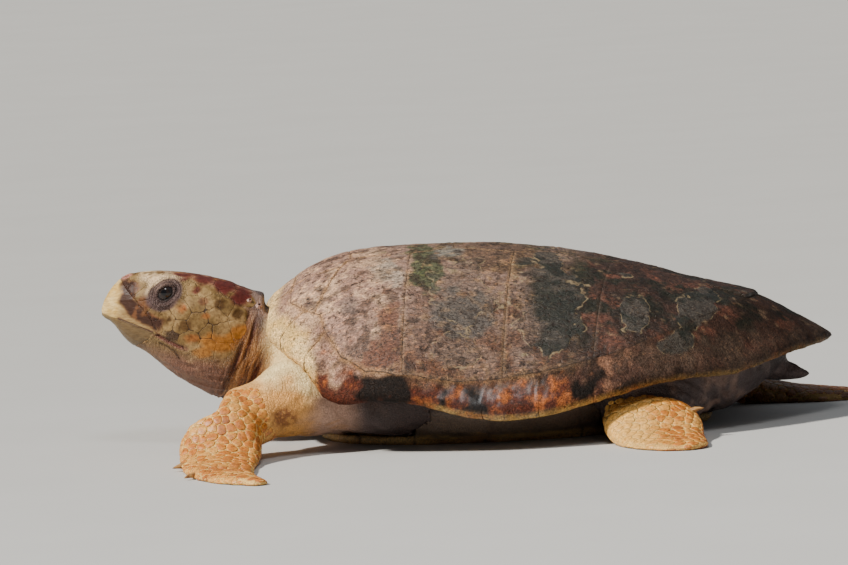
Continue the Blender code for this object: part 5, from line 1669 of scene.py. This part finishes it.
# %% Horn of the shell
GOLDEN, HORN_DARK, HORN_BRIGHT = (3.0, 2.5, 1.9), (0.26, 0.22, 0.20), (1.55, 1.45, 1.32)
BLOTCH, DOT, HAIRLINE = (0.024, 0.014, 0.009), (0.018, 0.011, 0.008), (0.030, 0.020, 0.014)
BROKEN_EDGE, FILM_ROUGHNESS = (0.30, 0.22, 0.12), 0.26


def horn_finish(name, rough, flecks=0.5, gloss=0.5, wet=0.0, fibre=(1, 1, 1)):
    """Weathered horn: flecked and fibrous, with hairline seams and the pale broken edges of flakes."""
    material, tree, shader = new_finish(name)
    colour = kept(tree, "tint", True)
    light = grain(tree, 0.006, 5, fibre, 0.75, 0.6)
    golden = mixed(tree, 0.92, colour, stained(tree, colour, 1.0, GOLDEN))
    colour = mixed(tree, ramp(tree, light, 0.54, 0.64, 0, flecks * 0.75), colour, golden)
    blotch = grain(tree, 0.009, 6, rough=0.75, distort=0.4)
    colour = mixed(tree, ramp(tree, blotch, 0.52, 0.61, 0, flecks), colour, BLOTCH)
    fine = grain(tree, 0.0026, 3, fibre, 0.8)
    colour = stained(tree, colour, 0.75, mixed(tree, ramp(tree, fine, 0.34, 0.66), HORN_DARK, HORN_BRIGHT))
    dots = node(tree, "TexVoronoi", None, Vector=ground(tree), Scale=1 / 0.013).outputs["Distance"]
    near = ramp(tree, dots, 0.10, 0.20, 1, 0)
    dots = joined(tree, "MULTIPLY", near, ramp(tree, blotch, 0.40, 0.55), flecks)
    colour = mixed(tree, dots, colour, DOT)
    flake = kept(tree, "flake")
    patchy = ramp(tree, grain(tree, 0.018, 3), 0.42, 0.60, 0.0, 0.7)
    inside, outside = ramp(tree, flake, 0.43, 0.48), ramp(tree, flake, 0.49, 0.53, 1, 0)
    edge = joined(tree, "MULTIPLY", inside, outside, patchy)
    colour = mixed(tree, edge, colour, BROKEN_EDGE)
    broken = ramp(tree, grain(tree, 0.02, 3), 0.35, 0.60, 0.05, 0.85)
    line = joined(tree, "MULTIPLY", ramp(tree, kept(tree, "seam"), 0.0003, 0.0010, 1, 0), broken)
    colour = mixed(tree, line, colour, HAIRLINE)
    if wet:
        patchy = ramp(tree, grain(tree, 0.03, 3), 0.36, 0.56, 0.10, wet)
        wire(tree, shader.inputs["Coat Weight"], joined(tree, "MULTIPLY", kept(tree, "wet"), patchy))
        shader.inputs["Coat Roughness"].default_value = FILM_ROUGHNESS
    pits = ramp(tree, cracks(tree, 0.007, fibre), 0.0, 0.10, 0, 0.35)
    matt = ramp(tree, grain(tree, 0.03, 4), 0.35, 0.68, *rough)
    settled(tree, shader, colour, matt, gloss, joined(tree, "ADD", blotch, light, fine, pits), 0.0013, 1.0)
    return material


horn = horn_finish("carapace horn", (0.34, 0.62), 0.80, 0.32, fibre=(0.45, 1, 1))
rim_horn = horn_finish("rim horn", (0.34, 0.56), 0.60, 0.10, 0.9)
belly_horn = horn_finish("plastron horn", (0.40, 0.60), 0.30)
print("horn finishes made")


# %% Skin, scales, beak, claw and eye
SKIN_GLOSS, HORN_GLOSS, EYE_GLOSS, EYE_FILM = 0.25, 0.22, 0.30, (0.30, 0.03)
PATCH_DARK, PATCH_BRIGHT, NET_SHADE = (0.70, 0.64, 0.58), (1.18, 1.17, 1.15), (0.36, 0.25, 0.19)
FOLD_SHADE, FOLD_LIGHT = (0.26, 0.15, 0.11), (1.35, 1.3, 1.2)
PORE_DARK, PORE_BRIGHT = (0.62, 0.60, 0.58), (1.3, 1.3, 1.3)
FLECK_DARK, FLECK_BRIGHT = (0.48, 0.40, 0.34), (1.25, 1.22, 1.16)
WORN_SCALE, DARK_SCALE = (1.9, 2.0, 2.2), (0.34, 0.24, 0.18)
GROWTH_DARK, GROWTH_BRIGHT, SPECK = (0.52, 0.42, 0.32), (1.18, 1.16, 1.12), (0.10, 0.05, 0.025)
STREAK_DARK, STREAK_BRIGHT = (0.5, 0.5, 0.5), (1.4, 1.35, 1.3)


def skin_finish():
    """Leathery skin: fine creases in a net with painted shade in their depth, and long leaning folds on the
    neck, with painted shade in their hollows and painted light on their crests.
    """
    material, tree, shader = new_finish("skin")
    colour, neck = kept(tree, "tint", True), kept(tree, "neck")
    broad = grain(tree, 0.016, 5)
    colour = stained(tree, colour, 0.6, mixed(tree, ramp(tree, broad, 0.32, 0.68), PATCH_DARK, PATCH_BRIGHT))
    net = ramp(tree, cracks(tree, 0.0042), 0.0, 0.12)
    # painted shade along the net of creases
    colour = stained(tree, colour, 0.26, mixed(tree, net, NET_SHADE, (1, 1, 1)))
    place = node(tree, "TexCoord").outputs["Object"]
    leaning = node(tree, "Mapping", {"vector_type": "TEXTURE"}, Vector=place, Rotation=(0, FOLD_LEAN, 0),
                   Scale=(0.0048, 0.05, 0.045)).outputs["Vector"]
    lines = node(tree, "TexNoise", None, Vector=leaning, Scale=1.0, Detail=3.0, Roughness=0.6).outputs["Fac"]
    # painted shade in the hollows of the neck's fine folds and painted light on their crests
    folded = stained(tree, colour, 1.0, mixed(tree, ramp(tree, lines, 0.36, 0.60), FOLD_SHADE, FOLD_LIGHT))
    colour = mixed(tree, joined(tree, "MULTIPLY", neck, 0.85), colour, folded)
    fine = grain(tree, 0.0016, 3, rough=0.7)
    colour = stained(tree, colour, 0.35, mixed(tree, fine, PORE_DARK, PORE_BRIGHT))
    creases = ramp(tree, cracks(tree, 0.0075, (1, 1, 0.45)), 0.0, 0.18)
    relief = joined(tree, "ADD", net, creases, fine, joined(tree, "MULTIPLY", neck, 1.6, lines))
    settled(tree, shader, colour, ramp(tree, broad, 0.3, 0.7, 0.42, 0.64), SKIN_GLOSS, relief, 0.0008, 0.9)
    return material


def scale_finish(name, rough, size=0.004, gloss=0.5):
    """Horny scales: flecked, with worn pale spots and dark ones."""
    material, tree, shader = new_finish(name)
    fleck, worn = grain(tree, size, 5, rough=0.7), grain(tree, 0.0018, 4, rough=0.8)
    flecked = mixed(tree, ramp(tree, fleck, 0.30, 0.66), FLECK_DARK, FLECK_BRIGHT)
    colour = stained(tree, kept(tree, "tint", True), 0.75, flecked)
    pale = stained(tree, colour, 1.0, WORN_SCALE)
    colour = mixed(tree, ramp(tree, worn, 0.56, 0.70, 0, 0.5), colour, pale)
    dark = stained(tree, colour, 1.0, DARK_SCALE)
    colour = mixed(tree, ramp(tree, grain(tree, 0.006, 4, rough=0.7), 0.55, 0.66, 0, 0.6), colour, dark)
    matt = ramp(tree, fleck, 0.3, 0.7, *rough)
    settled(tree, shader, colour, matt, gloss, joined(tree, "ADD", fleck, worn), 0.0005, 0.7)
    return material


def beak_finish(name, rough):
    """Smooth worn horn with lines of growth along it."""
    material, tree, shader = new_finish(name)
    lines, speck = grain(tree, 0.012, 6, (1, 1, 4.5), 0.65, 0.4), grain(tree, 0.0022, 4, rough=0.8)
    grown = mixed(tree, ramp(tree, lines, 0.3, 0.68), GROWTH_DARK, GROWTH_BRIGHT)
    colour = stained(tree, kept(tree, "tint", True), 0.65, grown)
    colour = mixed(tree, ramp(tree, speck, 0.60, 0.74, 0, 0.6), colour, SPECK)
    matt = ramp(tree, lines, 0.3, 0.7, *rough)
    settled(tree, shader, colour, matt, HORN_GLOSS, joined(tree, "ADD", lines, speck), 0.0005, 0.6)
    return material


def eye_finish():
    """The wet eye: colour from its rings, faintly streaked, under a clear film."""
    material, tree, shader = new_finish("eye")
    streaks = grain(tree, 0.0011, 4)
    colour = stained(tree, kept(tree, "tint", True), 0.5, mixed(tree, streaks, STREAK_DARK, STREAK_BRIGHT))
    shader.inputs["Coat Weight"].default_value, shader.inputs["Coat Roughness"].default_value = EYE_FILM
    matt = ramp(tree, streaks, 0.3, 0.7, 0.06, 0.14)
    settled(tree, shader, colour, matt, EYE_GLOSS, streaks, 0.00008, 0.4)
    return material


def wear(pieces, finish):
    for piece in pieces:
        piece.data.materials.clear()
        piece.data.materials.append(finish)


wear(back_shields + [nuchal], horn)
wear(rim_shields, rim_horn)
wear([plastron], belly_horn)
wear([skin], skin_finish())
wear(coats[:3], scale_finish("flipper scale", (0.22, 0.48)))
wear(coats[3:4], scale_finish("head plate", (0.36, 0.56), 0.007, 0.2))
wear(beaks, beak_finish("beak horn", (0.34, 0.52)))
wear(claws, beak_finish("claw horn", (0.32, 0.50)))
wear(eyes, eye_finish())
wear(barnacles, beak_finish("barnacle shell", (0.50, 0.70)))
print("finishes:", len(bpy.data.materials))

# %% [markdown]
# ## Floor, light and camera
# A plain pale floor runs out of sight on all sides. The sun stands half way up the sky, in front of the
# animal's left shoulder. A soft lamp over that side gives the wet rim its glint, and a pale sky fills the
# shade a little. The camera stands far off with a long lens and is rolled by a few degrees.

# %% Floor
FLOOR_DARK, FLOOR_PALE, FLOOR_MATT, FLOOR_REACH = (0.50, 0.50, 0.485), (0.55, 0.55, 0.54), 0.7, 45.0
floor_bm = bmesh.new()
bmesh.ops.create_grid(floor_bm, x_segments=8, y_segments=8, size=FLOOR_REACH)
floor = finished(floor_bm, "floor", None)
floor_paint, tree, shader = new_finish("floor")
wire(tree, shader.inputs["Base Color"], mixed(tree, grain(tree, 0.35, 4), FLOOR_DARK, FLOOR_PALE))
wire(tree, shader.inputs["Roughness"], FLOOR_MATT)
wear([floor], floor_paint)


# %% Light
SUN_WAY, SUN_STRENGTH, SUN_WIDTH, SUN_COLOUR = Vector((3.5, 1.6, -3.5)), 6.2, 0.10, (1.0, 0.95, 0.87)
LAMP_AT, LAMP_TARGET, LAMP_POWER, LAMP_SIZE = Vector((-0.25, -2.5, 3.4)), Vector((-0.12, -0.3, 0.1)), 45, 1.0
SKY_COLOUR, SKY_STRENGTH = (0.88, 0.93, 1.0, 1), 0.20


def hung(lamp, where, way):
    """A lamp is put in its place and shines along a direction."""
    made = bpy.data.objects.new(lamp.name, lamp)
    made.location = where
    made.rotation_euler = way.to_track_quat("-Z", "Y").to_euler()
    bpy.context.scene.collection.objects.link(made)


sun = bpy.data.lights.new("key", "SUN")
sun.energy, sun.angle, sun.color = SUN_STRENGTH, SUN_WIDTH, SUN_COLOUR
hung(sun, (0, 0, 0), SUN_WAY)
lamp = bpy.data.lights.new("glint", "AREA")
lamp.shape, lamp.size, lamp.energy = "SQUARE", LAMP_SIZE, LAMP_POWER
hung(lamp, LAMP_AT, LAMP_TARGET - LAMP_AT)
world = bpy.data.worlds.new("sky")
bpy.context.scene.world = world
world.use_nodes = True
sky = world.node_tree.nodes["Background"]
wire(world.node_tree, sky.inputs["Color"], SKY_COLOUR)
wire(world.node_tree, sky.inputs["Strength"], SKY_STRENGTH)

# %% Camera
AZIMUTH, ELEVATION, ROLL = (math.radians(angle) for angle in (-2.0, 5.0, 2.8))
DISTANCE, LOOK_AT = 11.6, Vector((-0.2026, 0, 0.2477))
LENS, SENSOR, FAR_END = 300, 36, 120
back = Vector((math.sin(AZIMUTH) * math.cos(ELEVATION), -math.cos(AZIMUTH) * math.cos(ELEVATION),
               math.sin(ELEVATION)))
right = (-back).cross(Vector((0, 0, 1))).normalized()
up = right.cross(-back)
rolled = (right * math.cos(ROLL) - up * math.sin(ROLL), right * math.sin(ROLL) + up * math.cos(ROLL), back)
camera = bpy.data.objects.new("camera", bpy.data.cameras.new("camera"))
camera.data.lens, camera.data.sensor_width, camera.data.clip_end = LENS, SENSOR, FAR_END
camera.matrix_world = Matrix(rolled).transposed().to_4x4()
camera.location = LOOK_AT + back * DISTANCE
bpy.context.scene.collection.objects.link(camera)
bpy.context.scene.camera = camera
print("camera at", [round(value, 2) for value in camera.location])
